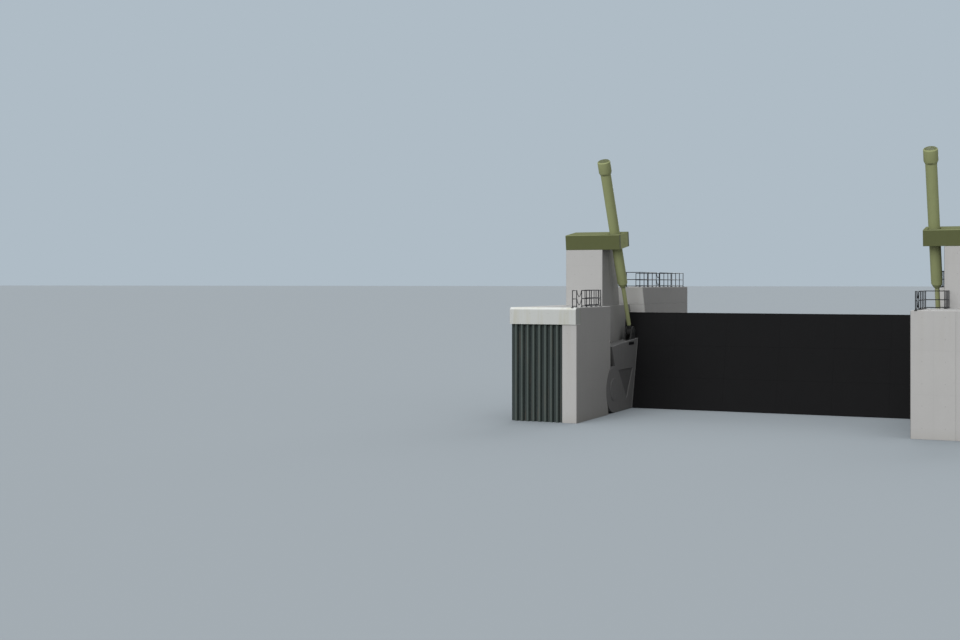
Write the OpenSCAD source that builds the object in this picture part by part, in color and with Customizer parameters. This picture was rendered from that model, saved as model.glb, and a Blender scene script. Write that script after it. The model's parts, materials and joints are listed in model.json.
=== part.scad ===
// Rotary flood gate between two concrete piers, standing closed.
// X runs across the waterway, Y along the flow, Z up from the waterline.
// The noses of the piers face -Y. Side pieces are drawn for +X and mirrored.

/* [Waterway] */
// Clear width between the two piers
opening_w = 20000; // [14000:100:26000]
// Height of the leaf's crest above the waterline
crest_z = 6700; // [6300:50:6900]
// Gap under the leaf at the waterline
sill_gap = 10; // [8:1:30]

/* [Piers] */
// Length of a pier along the flow
pier_l = 26000; // [24000:100:30000]
// Width of a pier
pier_w = 4500; // [4200:50:6000]
// Height of the front deck
deck_z = 7250; // [7150:50:7500]
// Height of the deck on the tail block
tail_deck_z = 8500; // [8200:50:9000]
// How far the nose wall stands back under the capping
nose_setback = 120; // [50:10:250]
// Height of the capping beam on the nose
capping_h = 1060; // [600:20:1400]
// Depth of the capping beam along the flow
capping_l = 900; // [600:20:1400]

/* [Sheet piles] */
// Width of the concrete strip between the sheet piles and the channel
strip_w = 980; // [700:20:1400]
// Width of one fold of the sheet piles
pile_pitch = 400; // [300:10:600]
// Width of a fold's front flat
pile_front_w = 110; // [60:5:140]
// Width of a fold's back flat
pile_back_w = 160; // [100:5:220]
// Depth of the folds
pile_depth = 220; // [120:10:300]
// Thickness of the sheet piles
pile_t = 14; // [10:1:20]
// How far the sheet piles stand back from the nose wall
pile_setback = 40; // [20:5:120]

/* [Gate pocket] */
// Distance from the nose to the front edge of the pocket
pocket_from_nose = 6740; // [6500:20:6900]
// Depth of the pocket into the pier
pocket_depth = 1100; // [1000:10:1300]
// Distance from the nose to the tail block at its deck
tail_from_nose = 13900; // [13600:50:14400]
// Distance that the tail block's front leans back down to the front deck
tail_lean = 430; // [300:10:600]
// Gap between the leaf's swing and the back of the pocket
swing_gap = 190; // [60:10:300]
// Radius of the bearing chamber in the pocket's wall
chamber_r = 4000; // [3000:50:4200]
// Depth of the bearing chamber behind the pocket's wall
chamber_depth = 600; // [500:10:800]

/* [Pivot] */
// Distance from the nose to the pivot
pivot_from_nose = 7600; // [7500:20:7800]
// Height of the pivot
pivot_z = 1600; // [1590:5:1700]
// Swing of the gate from closed to open, in degrees
swing = 74; // [60:1:75]
// Radius of the arm's round end
hub_r = 1550; // [1200:10:1570]
// Gap round the arm's end in the nose
hub_gap = 100; // [50:10:200]
// Radius of the pivot shaft
shaft_r = 300; // [200:5:360]
// Outer radius of the pivot bearing
bearing_r = 620; // [500:10:700]
// Gap between the bearing and the arm
bearing_gap = 40; // [20:5:60]
// Radius of the bearing's wall flange
bearing_flange_r = 900; // [800:10:1100]

/* [Leaf] */
// Lean of the leaf away from the nose side, in degrees
lean = 16; // [14:0.5:18]
// Distance from the nose to the leaf's face at the waterline
leaf_from_nose = 11620; // [11500:20:11700]
// Depth of the leaf from its face to the back flanges
leaf_depth = 900; // [700:10:950]
// Thickness of the skin plate
skin_t = 60; // [30:5:80]
// Number of horizontal girders
girder_count = 5; // [3:1:6]
// Thickness of girder webs and flanges
girder_t = 50; // [30:5:70]
// Width of a girder's back flange
girder_flange_w = 300; // [200:10:400]
// Number of upright ribs
rib_count = 11; // [7:1:15]
// Thickness of an upright rib
rib_t = 40; // [20:5:60]
// Height of the crest box
crest_h = 320; // [200:10:400]
// Gap between the leaf's end and the pocket's wall
end_gap = 60; // [40:5:90]
// Thickness of a side seal
seal_t = 40; // [20:1:50]

/* [Arms] */
// Gap between the arm and the face of the pier
arm_inset = 50; // [20:5:100]
// Radius of the boss round the pivot on the arm's face
boss_r = 760; // [650:10:1000]
// How far the boss stands out
boss_t = 30; // [10:5:40]
// Distance from the pivot to the hollow corner in the arm's front edge
arm_neck = 290; // [200:10:400]
// Width of an arm
arm_w = 800; // [740:10:840]
// Thickness of the arm's plates
arm_plate_t = 60; // [40:5:70]
// Distance from the nose to the arm's top front corner
arm_top_from_nose = 7170; // [7000:10:7400]
// Height of the arm's top front corner
arm_top_z = 4500; // [4300:20:4600]
// Rise of the arm's top edge to the leaf
arm_top_rise = 380; // [200:10:420]
// Depth of the three-cornered hollow in the arm's face
hollow_depth = 35; // [10:5:50]
// Distance from the boss to the hollow
hollow_edge = 240; // [150:10:400]
// Reach of the mouth for the rod eye in front of the pin
mouth_front = 1300; // [1250:10:1400]
// Reach of the mouth behind the pin
mouth_back = 400; // [350:10:450]
// Depth of the mouth below the pin
mouth_down = 950; // [900:10:1000]
// Length of the hand hole in the arm's face
hand_hole_l = 320; // [200:10:400]
// Height of the hand hole
hand_hole_h = 180; // [120:10:200]
// Distance from the mouth's floor up to the hand hole
hand_hole_up = 70; // [20:5:100]
// Distance from the pin forward to the middle of the hand hole
hand_hole_front = 940; // [400:10:1000]
// Gap between the shaft's end and the chamber's wall
shaft_end_gap = 120; // [60:10:200]

/* [Cylinders] */
// Distance from the nose to the rod pin
pin_from_nose = 12400; // [12350:10:12450]
// Height of the rod pin
pin_z = 5350; // [5320:5:5400]
// Distance from the nose to the trunnion
trunnion_from_nose = 9250; // [9200:10:9300]
// Height of the trunnion
trunnion_z = 11710; // [11600:10:11800]
// Radius of the barrel
barrel_r = 350; // [320:5:360]
// Bore radius of the barrel
bore_r = 260; // [220:5:280]
// Length of the barrel below the trunnion
barrel_below = 3520; // [3300:10:3600]
// Length of the cylinder above the trunnion, with its cap
cylinder_above = 5890; // [5800:10:6100]
// Radius of the cap
cap_r = 435; // [400:5:460]
// Length of the cap
cap_l = 780; // [700:10:1000]
// Length of the cone between the barrel and the cap
cap_cone_l = 160; // [80:10:220]
// Length of the cone at the barrel's mouth
nose_cone_l = 270; // [150:10:330]
// Radius of the barrel's mouth
mouth_r = 215; // [190:5:250]
// Length of the gland at the barrel's mouth
gland_l = 350; // [340:10:450]
// Thickness of the cap above the end of the barrel
cap_cover = 500; // [300:10:600]
// Gap between the piston and the end of the barrel at rest
piston_gap = 100; // [50:10:150]
// Radius of the rod
rod_r = 145; // [120:5:145]
// Length of the rod eye's neck
eye_neck = 250; // [150:10:400]
// Length of the piston
piston_l = 400; // [300:10:450]
// Half length of the trunnion ring along the barrel
ring_half_l = 250; // [200:10:300]
// Radius of the trunnion ring
ring_r = 420; // [400:5:430]
// Radius of the trunnion pins
trunnion_r = 150; // [120:5:180]
// How far the trunnion pins end inside the cross plates' outer faces
pin_recess = 5; // [2:1:20]
// Radius of the rod eye
eye_r = 300; // [260:5:320]
// Thickness of the rod eye
eye_t = 300; // [260:5:320]
// Gap on each side of the rod eye
eye_gap = 15; // [8:1:25]
// Thickness of a lug plate
lug_t = 110; // [80:5:140]
// Radius of the lug plates round the pin
lug_r = 380; // [350:5:420]
// How much further the lug plates' feet reach to the front
lug_spread = 320; // [200:10:400]
// Radius of the pin's cover on a lug plate
pin_cover_r = 210; // [150:10:260]
// Thickness of the pin's cover
pin_cover_t = 35; // [20:5:50]
// Radius of the rod pin, which stops short of the lug plates
pin_r = 120; // [80:5:150]

/* [Towers] */
// Width of a tower across the pier
tower_w = 2660; // [2400:20:3000]
// Distance from the nose to the knee in the tower's back
knee_from_nose = 11710; // [11400:10:11800]
// Height of the knee
knee_z = 8600; // [8300:20:9000]
// Distance from the nose to the foot of the tower's back
foot_from_nose = 11980; // [11900:10:12300]

/* [Cradles] */
// Rise of the cradle towards the tail, in degrees
cradle_tilt = 8; // [5:0.5:10]
// Depth of the cradle along the flow
cradle_l = 2100; // [2000:10:2300]
// Height of the cradle beams
cradle_h = 980; // [900:10:1100]
// Thickness of a cradle beam
beam_t = 260; // [200:10:300]
// How far the cradle reaches past the pier's face
cradle_reach = 150; // [100:10:250]
// Thickness of the cross plates that hold the trunnions
cross_t = 100; // [60:5:120]
// Thickness of the cradle's top plate
top_plate_t = 30; // [20:5:50]
// Gap on each side of the barrel in the top plate's slot
slot_gap = 31; // [15:1:60]
// Room for the barrel's swing at each end of the slot
slot_room = 80; // [60:5:120]

/* [Railings] */
// Height of the railings
rail_h = 1100; // [1000:10:1200]
// Distance of the railings from the deck edge
rail_inset = 280; // [150:10:350]
// Length of the bay in front of the chains
first_bay = 770; // [600:10:1200]
// Distance from the end of the channel railing to the pocket
rail_stop = 1220; // [600:10:1500]
// Length of the tail railing in front of its chains
tail_first_run = 4100; // [2000:50:5000]
// Greatest distance between posts
post_pitch = 1100; // [800:20:1500]
// Radius of posts and rails
rail_r = 28; // [20:1:35]
// Width of the gap that the chains close
chain_gap = 930; // [700:10:1100]
// Sag of the chains
chain_sag = 380; // [200:10:450]

/* [Hidden] */
$fn = 64;

concrete = [0.66, 0.66, 0.65];
white_concrete = [0.85, 0.85, 0.8];
black_steel = [0.11, 0.11, 0.12];
arm_grey = [0.24, 0.24, 0.25];
olive = [0.42, 0.45, 0.3];
light_olive = [0.51, 0.54, 0.4];
rail_black = [0.08, 0.08, 0.09];
pile_green = [0.3, 0.33, 0.33];

// Small distances
fit = 0.05;      // radial clearance of a running fit
seat = 0.2;      // clearance of rings on the barrel and of plates that lean against each other
over = 10;       // how far a cutting shape runs past what it cuts

// Places along the flow
nose_y = -pier_l / 2;
tail_end_y = pier_l / 2;
pocket_y = nose_y + pocket_from_nose;
tail_y = nose_y + tail_from_nose;
tail_foot_y = tail_y + tail_lean;
pivot_y = nose_y + pivot_from_nose;
pile_back_y = nose_y + nose_setback + pile_setback + pile_t + pile_depth;
leaf_y = nose_y + leaf_from_nose;
pin_y = nose_y + pin_from_nose;
trunnion_y = nose_y + trunnion_from_nose;

// Places across the waterway, for the +X side
face_x = opening_w / 2;
outer_x = face_x + pier_w;
wall_x = face_x + pocket_depth;
chamber_x = wall_x + chamber_depth;
strip_x = face_x + strip_w;
arm_x = face_x + arm_inset;
arm_out_x = arm_x + arm_w;
rod_x = arm_x + arm_w / 2;
leaf_end_x = wall_x - end_gap;
cradle_x = face_x - cradle_reach;
tower_out_x = wall_x + tower_w;
cross_gap = rod_x - cradle_x - cross_t;

// The cylinder's axis, from the trunnion down to the rod pin
axis_y = pin_y - trunnion_y;
axis_z = pin_z - trunnion_z;
rod_reach = sqrt(axis_y * axis_y + axis_z * axis_z);
cylinder_tilt = atan2(axis_y, -axis_z);

// Top edge of the arm
arm_front_y = nose_y + arm_top_from_nose;

// Recess in the nose that clears the arm's round end and its underside
recess_r = max(hub_r, pivot_z) + hub_gap;

// Leaf, measured up its face (u) and back from its face (n)
leaf_h = crest_z / cos(lean);
function leaf_at(u, n) = [leaf_y + u * sin(lean) + n * cos(lean), u * cos(lean) - n * sin(lean)];
back_corner = leaf_at(leaf_h, leaf_depth) - [pivot_y, pivot_z];
swing_r = norm(back_corner) + swing_gap;
crest_u = leaf_h - crest_h;
first_girder_u = (sill_gap + leaf_depth * sin(lean)) / cos(lean) + girder_flange_w / 2;
function girder_u(i) = first_girder_u + i * (crest_u - first_girder_u) / girder_count;

arm_back = leaf_at((arm_top_z + arm_top_rise) / cos(lean), 0);

// Draws an outline given along the flow (Y) and up (Z), from one X to another
module across(x0, x1) {
  translate([x0, 0, 0])
    rotate([90, 0, 90])
      linear_extrude(x1 - x0)
        children();
}

// Places a piece drawn for the +X side on the right or, mirrored, on the left
module on_side(side) {
  if (side == "right") children();
  else mirror([1, 0, 0]) children();
}

// The part of an outline that is above a height
module above(z) {
  intersection() {
    children();
    translate([nose_y, z])
      square([pier_l, trunnion_z]);
  }
}

module at_pivot() {
  translate([pivot_y, pivot_z])
    children();
}

// Space that the arm and the leaf's end swing through in a pier
module swing_space() {
  difference() {
    union() {
      at_pivot() circle(r = swing_r, $fn = 128);
      polygon([
        [pocket_y, -over], [pocket_y, tail_deck_z + over],
        [tail_y - over * tail_lean / (tail_deck_z - deck_z), tail_deck_z + over],
        [tail_foot_y, deck_z],
        [tail_foot_y + (deck_z - crest_z) * tail_lean / (tail_deck_z - deck_z), crest_z],
        [pivot_y, -over]
      ]);
    }
    translate([pocket_y - pier_l, -pier_l])
      square([pier_l, 2 * pier_l]);
  }
}

// Piers

// Space in the nose for the arm's round end, and for its underside at the end of the swing
module hub_recess() {
  at_pivot() {
    circle(r = recess_r, $fn = 96);
    rotate(-swing)
      translate([0, -pivot_z - hub_gap / 2])
        square([2 * recess_r, pivot_z]);
  }
}

module pier_nose() {
  color(concrete)
    difference() {
      translate([face_x, nose_y + nose_setback, 0])
        cube([pier_w, pocket_from_nose - nose_setback, deck_z]);
      across(face_x - over, chamber_x)
        hub_recess();
    }
}

module left_pier_nose() {
  on_side("left")
    difference() {
      pier_nose();
      translate([face_x - over, nose_y - over, deck_z - capping_h])
        cube([pier_w + 2 * over, capping_l + over, capping_h + over]);
      translate([strip_x, nose_y - over, -over])
        cube([pier_w, pile_back_y - nose_y + over, deck_z]);
    }
}

// One fold of the sheet piles, from its back flat's middle, at a depth shift along the flow
function pile_fold(x, shift) = [
  [x, pile_back_y - shift],
  [x + pile_back_w / 2, pile_back_y - shift],
  [x + (pile_pitch - pile_front_w) / 2, pile_back_y - pile_depth - shift],
  [x + (pile_pitch + pile_front_w) / 2, pile_back_y - pile_depth - shift],
  [x + pile_pitch - pile_back_w / 2, pile_back_y - shift]
];

// Folded sheet piles that close the rest of the left nose under the capping
module sheet_piles() {
  folds = floor((outer_x - strip_x) / pile_pitch) - 1;
  start = (strip_x + outer_x - (folds + 1) * pile_pitch) / 2;
  back = [for (i = [0:folds]) each pile_fold(start + i * pile_pitch, 0)];
  front = [for (i = [0:folds]) each pile_fold(start + i * pile_pitch, pile_t)];
  ends = [[strip_x, pile_back_y], [outer_x, pile_back_y]];
  front_ends = [for (e = ends) e - [0, pile_t]];
  line = concat([ends[0]], back, [ends[1]]);
  front_line = concat([front_ends[0]], front, [front_ends[1]]);
  color(pile_green)
    linear_extrude(deck_z - capping_h)
      polygon(concat(line, [for (i = [len(front_line) - 1:-1:0]) front_line[i]]));
}

module nose_capping() {
  color(white_concrete)
    translate([face_x, nose_y, deck_z - capping_h])
      cube([pier_w, capping_l, capping_h]);
}

module pier_wall() {
  color(concrete)
    difference() {
      translate([wall_x, pocket_y, 0])
        cube([outer_x - wall_x, tail_foot_y - pocket_y, deck_z]);
      across(wall_x - over, chamber_x)
        at_pivot() circle(r = chamber_r, $fn = 96);
    }
}

module pier_tail() {
  color(concrete)
    difference() {
      across(face_x, outer_x)
        polygon([
          [tail_foot_y, 0], [tail_foot_y, deck_z], [tail_y, tail_deck_z],
          [tail_end_y, tail_deck_z], [tail_end_y, 0]
        ]);
      across(face_x - over, wall_x)
        swing_space();
    }
}

// Towers and cradles

// Turns a cradle outline (v along the flow, w up) to its place on the tower
module in_cradle() {
  translate([trunnion_y, trunnion_z])
    rotate(cradle_tilt)
      children();
}

function cradle_at(v, w) = [
  trunnion_y + v * cos(cradle_tilt) - w * sin(cradle_tilt),
  trunnion_z + v * sin(cradle_tilt) + w * cos(cradle_tilt)
];

module tower() {
  front = cradle_at(-cradle_l / 2, -cradle_h / 2);
  back = cradle_at(cradle_l / 2, -cradle_h / 2);
  color(concrete)
    across(wall_x, tower_out_x)
      polygon([
        [front[0], deck_z], front, back,
        [nose_y + knee_from_nose, knee_z], [nose_y + foot_from_nose, deck_z]
      ]);
}

module cradle_beams() {
  color(olive)
    across(cradle_x, tower_out_x)
      in_cradle()
        for (v = [-cradle_l / 2, cradle_l / 2 - beam_t])
          translate([v, -cradle_h / 2])
            square([beam_t, cradle_h]);
}

module cross_plate_shape() {
  difference() {
    square([cradle_l - 2 * beam_t, cradle_h], center = true);
    circle(r = trunnion_r + fit);
  }
}

module cradle_plates() {
  slot_w = 2 * (barrel_r + slot_gap);
  lean_out = (cradle_h / 2 + top_plate_t) * tan(cylinder_tilt - cradle_tilt);
  slot_l = 2 * (barrel_r + slot_room) + lean_out;
  color(olive) {
    for (x = [cradle_x, rod_x + cross_gap])
      across(x, x + cross_t)
        in_cradle() cross_plate_shape();
    difference() {
      across(cradle_x, tower_out_x)
        in_cradle()
          translate([-cradle_l / 2, cradle_h / 2])
            square([cradle_l, top_plate_t]);
      across(rod_x - slot_w / 2, rod_x + slot_w / 2)
        in_cradle()
          translate([-lean_out / 2 - slot_l / 2, cradle_h / 2 - over])
            square([slot_l, top_plate_t + 2 * over]);
    }
  }
}

// Pivot bearing on the back wall of the chamber
module pivot_bearing() {
  flange_t = 90;
  cone_l = 160;
  cone_w = 120;
  edge = 40;
  reach = chamber_x - arm_out_x - bearing_gap;
  color(arm_grey)
    translate([chamber_x, pivot_y, pivot_z])
      rotate([0, -90, 0])
        rotate_extrude($fn = 96)
          polygon([
            [shaft_r + fit, 0], [bearing_flange_r, 0], [bearing_flange_r, flange_t],
            [bearing_r + cone_w, flange_t], [bearing_r, flange_t + cone_l], [bearing_r, reach - edge],
            [bearing_r - edge, reach], [shaft_r + fit, reach]
          ]);
}

// Railings

module bar(a, b, r) {
  d = b - a;
  translate(a)
    rotate([0, acos(d[2] / norm(d)), atan2(d[1], d[0])])
      cylinder(r = r, h = norm(d), $fn = 8);
}

// A straight run of railing from a to b, on a deck, with its posts from number first
module railing(a, b, first = 0) {
  bays = ceil(norm(b - a) / post_pitch);
  for (i = [first:bays]) {
    foot = a + (b - a) * i / bays;
    bar(foot, foot + [0, 0, rail_h], rail_r);
  }
  for (h = [3 * rail_r, rail_h / 2, rail_h - rail_r])
    bar(a + [0, 0, h], b + [0, 0, h], rail_r * 0.8);
}

// Two chains that hang between two posts
module chains(a, b) {
  middle = (a + b) / 2 - [0, 0, chain_sag];
  for (h = [rail_h / 2, rail_h - rail_r]) {
    bar(a + [0, 0, h], middle + [0, 0, h], rail_r * 0.5);
    bar(middle + [0, 0, h], b + [0, 0, h], rail_r * 0.5);
  }
}

module channel_railing() {
  x = face_x + rail_inset;
  start = nose_y + nose_setback;
  chain_start = start + first_bay;
  color(rail_black) {
    railing([x, start, deck_z], [x, chain_start, deck_z]);
    chains([x, chain_start, deck_z], [x, chain_start + chain_gap, deck_z]);
    railing([x, chain_start + chain_gap, deck_z], [x, pocket_y - rail_stop, deck_z]);
  }
}

// Closes the way round the pocket, from the channel railing to the tower
module pocket_railing() {
  x = face_x + rail_inset + rail_r + seat;
  y = pocket_y - rail_stop;
  corner_x = wall_x + rail_inset;
  tower_y = cradle_at(-cradle_l / 2, -cradle_h / 2)[0];
  color(rail_black) {
    railing([x, y, deck_z], [corner_x, y, deck_z], 1);
    railing([corner_x, y, deck_z], [corner_x, tower_y - rail_r - seat, deck_z], 1);
  }
}

module tail_railing() {
  x = face_x + rail_inset;
  y = tail_y + rail_inset;
  chain_start = y + tail_first_run;
  color(rail_black) {
    railing([x, y, tail_deck_z], [x, chain_start, tail_deck_z]);
    chains([x, chain_start, tail_deck_z], [x, chain_start + chain_gap, tail_deck_z]);
    railing([x, chain_start + chain_gap, tail_deck_z], [x, tail_end_y - rail_inset, tail_deck_z]);
  }
}

module tail_front_railing() {
  x = face_x + rail_inset + rail_r + seat;
  y = tail_y + rail_inset;
  color(rail_black)
    railing([x, y, tail_deck_z], [outer_x - rail_inset, y, tail_deck_z], 1);
}

module tail_end_railing() {
  x = face_x + rail_inset + rail_r + seat;
  y = tail_end_y - rail_inset;
  color(rail_black)
    railing([x, y, tail_deck_z], [outer_x - rail_inset, y, tail_deck_z], 1);
}

// Leaf

// A strip of the leaf between two heights up the face and two depths behind it
module strip(u0, u1, n0, n1) {
  polygon([leaf_at(u0, n0), leaf_at(u1, n0), leaf_at(u1, n1), leaf_at(u0, n1)]);
}

module leaf_part(x0, x1) {
  across(x0, x1)
    above(sill_gap)
      children();
}

module skin_plate() {
  color(black_steel)
    leaf_part(-leaf_end_x, leaf_end_x)
      strip(-leaf_depth, leaf_h, 0, skin_t);
}

// Webs of the girders from a depth behind the face, thicker on each side by a margin
module girder_webs(front, margin) {
  half = girder_t / 2 + margin;
  for (i = [0:girder_count - 1])
    strip(girder_u(i) - half, girder_u(i) + half, front, leaf_depth - girder_t / 2);
}

module girder_flanges() {
  half = girder_flange_w / 2;
  for (i = [0:girder_count - 1])
    strip(girder_u(i) - half, girder_u(i) + half, leaf_depth - girder_t, leaf_depth);
}

module girders() {
  color(black_steel)
    leaf_part(-leaf_end_x, leaf_end_x) {
      girder_webs(skin_t + seat, 0);
      girder_flanges();
    }
}

module ribs() {
  first = -leaf_end_x + rib_t / 2;
  step = 2 * (leaf_end_x - rib_t / 2) / (rib_count - 1);
  color(black_steel)
    for (i = [0:rib_count - 1])
      leaf_part(first + i * step - rib_t / 2, first + i * step + rib_t / 2)
        difference() {
          strip(-leaf_depth, crest_u - seat, skin_t + seat, leaf_depth - girder_t - seat);
          girder_webs(skin_t - over, seat);
        }
}

module crest_box() {
  color(black_steel)
    leaf_part(-leaf_end_x, leaf_end_x)
      strip(crest_u, leaf_h, skin_t + seat, leaf_depth);
}

module side_seals() {
  color(black_steel)
    for (x = [-leaf_end_x - seal_t, leaf_end_x])
      leaf_part(x, x + seal_t)
        strip(-leaf_depth, leaf_h, 0, leaf_depth / 2);
}

// Arms

// Height of the arm's top edge at a place along the flow
function arm_top_at(y) = arm_top_z + (y - arm_front_y) * arm_top_rise / (arm_back[0] - arm_front_y);

// Side view of an arm, from its round end to the leaf's face
module arm_outline() {
  union() {
    at_pivot() circle(r = hub_r, $fn = 96);
    polygon([
      [arm_front_y, arm_top_z], arm_back, leaf_at(0, 0), [pivot_y, 0],
      [pivot_y + arm_neck, pivot_z + hub_r - arm_plate_t]
    ]);
  }
}

// Opening in the arm's top edge that the rod eye dips into as the gate swings
module eye_mouth() {
  translate([pin_y - mouth_front, pin_z - mouth_down])
    square([mouth_front + mouth_back, mouth_down]);
}

// Hole in the arm's face that reaches the mouth
module hand_hole() {
  translate([pin_y - hand_hole_front - hand_hole_l / 2, pin_z - mouth_down + hand_hole_up])
    square([hand_hole_l, hand_hole_h]);
}

// Three-cornered hollow between the arm's spokes
module arm_hollow() {
  polygon([
    [pivot_y + boss_r + hollow_edge, pivot_z + hub_r * 0.8],
    [leaf_at(0, 0)[0] + hub_r * 0.1, pivot_z + hub_r * 0.8],
    [pivot_y + hub_r * 1.8, pivot_z - hub_r * 0.5]
  ]);
}

module arm() {
  mouth_w = eye_t + 2 * eye_gap;
  color(arm_grey) {
    difference() {
      across(arm_x, arm_out_x)
        above(sill_gap)
          arm_outline();
      across(rod_x - mouth_w / 2, rod_x + mouth_w / 2)
        eye_mouth();
      across(arm_x - over, arm_x + hollow_depth)
        arm_hollow();
      across(arm_x - over, rod_x)
        hand_hole();
    }
    across(arm_x - boss_t, arm_x + over)
      at_pivot() circle(r = boss_r, $fn = 96);
    translate([arm_out_x - over, pivot_y, pivot_z])
      rotate([0, 90, 0])
        cylinder(r = shaft_r, h = chamber_x - shaft_end_gap - arm_out_x + over, $fn = 96);
  }
}

// Two plates on the arm's top edge, one on each side of the rod eye
module lugs() {
  inner = eye_t / 2 + eye_gap;
  front = pin_y - lug_r - lug_spread;
  back = pin_y + lug_r;
  outline = [
    [pin_y - lug_r, pin_z], [front, arm_top_at(front) + seat],
    [back, arm_top_at(back) + seat], [back, pin_z]
  ];
  color(arm_grey)
    for (s = [-1, 1])
      translate([rod_x, 0, 0])
        mirror([s < 0 ? 1 : 0, 0, 0]) {
          across(inner, inner + lug_t)
            union() {
              translate([pin_y, pin_z]) circle(r = lug_r);
              polygon(outline);
            }
          across(inner + lug_t - over, inner + lug_t + pin_cover_t)
            translate([pin_y, pin_z]) circle(r = pin_cover_r);
        }
}

// Cylinders, drawn along the axis with the trunnion at zero and the rod downwards

module on_axis() {
  translate([rod_x, trunnion_y, trunnion_z])
    rotate([cylinder_tilt, 0, 0])
      children();
}

module barrel() {
  top = cylinder_above - cap_cover;
  bottom = -barrel_below;
  color(light_olive)
    on_axis()
      rotate_extrude($fn = 96)
        polygon([
          [rod_r + fit, bottom], [mouth_r, bottom], [barrel_r, bottom + nose_cone_l],
          [barrel_r, top], [bore_r, top],
          [bore_r, bottom + gland_l], [rod_r + fit, bottom + gland_l]
        ]);
}

module cap() {
  cap_lip = 25;
  cap_edge = 60;
  top = cylinder_above;
  bottom = top - cap_l;
  color(light_olive)
    on_axis()
      rotate_extrude($fn = 96)
        polygon([
          [0, top - cap_cover], [barrel_r + seat, top - cap_cover],
          [barrel_r + seat, bottom - cap_cone_l], [barrel_r + cap_lip, bottom - cap_cone_l],
          [cap_r, bottom], [cap_r, top - cap_edge], [cap_r - cap_edge, top], [0, top]
        ]);
}

module trunnion_ring() {
  edge = 30;
  root = barrel_r + (ring_r - barrel_r) / 3;
  pin_end = cross_gap + cross_t - pin_recess;
  color(light_olive) {
    on_axis()
      rotate_extrude($fn = 96)
        polygon([
          [barrel_r + seat, -ring_half_l], [ring_r - edge, -ring_half_l], [ring_r, edge - ring_half_l],
          [ring_r, ring_half_l - edge], [ring_r - edge, ring_half_l], [barrel_r + seat, ring_half_l]
        ]);
    for (s = [-1, 1])
      translate([rod_x, trunnion_y, trunnion_z])
        rotate([0, s * 90, 0])
          translate([0, 0, root])
            cylinder(r = trunnion_r, h = pin_end - root);
  }
}

module rod() {
  top = rod_reach + cylinder_above - cap_cover - piston_gap;
  color(light_olive)
    on_axis()
      translate([0, 0, -rod_reach])
        rotate_extrude()
          polygon([
            [0, eye_r + eye_neck], [rod_r, eye_r + eye_neck], [rod_r, top - piston_l],
            [bore_r - fit, top - piston_l], [bore_r - fit, top], [0, top]
          ]);
}

module rod_eye() {
  color(arm_grey)
    on_axis()
      translate([0, 0, -rod_reach]) {
        rotate([0, 90, 0]) {
          cylinder(r = eye_r, h = eye_t, center = true, $fn = 96);
          cylinder(r = pin_r, h = eye_t + eye_gap, center = true);
        }
        cylinder(r = rod_r, h = eye_r + eye_neck);
      }
}

left_pier_nose();
on_side("left") pier_wall();  // left_pier_wall
on_side("left") pier_tail();  // left_pier_tail
on_side("left") tower();  // left_tower
on_side("left") cradle_beams();  // left_cradle_beams
on_side("left") cradle_plates();  // left_cradle_plates
on_side("left") pivot_bearing();  // left_pivot_bearing
on_side("left") channel_railing();  // left_channel_railing
on_side("left") pocket_railing();  // left_pocket_railing
on_side("left") tail_railing();  // left_tail_railing
on_side("left") tail_front_railing();  // left_tail_front_railing
on_side("left") tail_end_railing();  // left_tail_end_railing
on_side("left") nose_capping();  // left_nose_capping
on_side("left") sheet_piles();  // left_sheet_piles
on_side("right") pier_nose();  // right_pier_nose
on_side("right") pier_wall();  // right_pier_wall
on_side("right") pier_tail();  // right_pier_tail
on_side("right") tower();  // right_tower
on_side("right") cradle_beams();  // right_cradle_beams
on_side("right") cradle_plates();  // right_cradle_plates
on_side("right") pivot_bearing();  // right_pivot_bearing
on_side("right") channel_railing();  // right_channel_railing
on_side("right") pocket_railing();  // right_pocket_railing
on_side("right") tail_railing();  // right_tail_railing
on_side("right") tail_front_railing();  // right_tail_front_railing
on_side("right") tail_end_railing();  // right_tail_end_railing
skin_plate();
girders();
ribs();
crest_box();
side_seals();
on_side("left") arm();  // left_arm
on_side("left") lugs();  // left_lugs
on_side("right") arm();  // right_arm
on_side("right") lugs();  // right_lugs
on_side("left") barrel();  // left_barrel
on_side("left") cap();  // left_cap
on_side("left") trunnion_ring();  // left_trunnion_ring
on_side("left") rod();  // left_rod
on_side("left") rod_eye();  // left_rod_eye
on_side("right") barrel();  // right_barrel
on_side("right") cap();  // right_cap
on_side("right") trunnion_ring();  // right_trunnion_ring
on_side("right") rod();  // right_rod
on_side("right") rod_eye();  // right_rod_eye
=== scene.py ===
"""Looks of a rotary flood gate between two concrete piers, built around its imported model.

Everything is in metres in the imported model's frame: X runs across the waterway, Y along the
flow from the piers' noses to their tails, and Z up from the waterline.
"""
import json
import logging
import math
from abc import ABC, abstractmethod
from dataclasses import dataclass
from enum import Enum
from functools import partial
from typing import Callable, Iterable, Sequence

import bmesh
import bpy
from mathutils import Matrix, Vector


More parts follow.
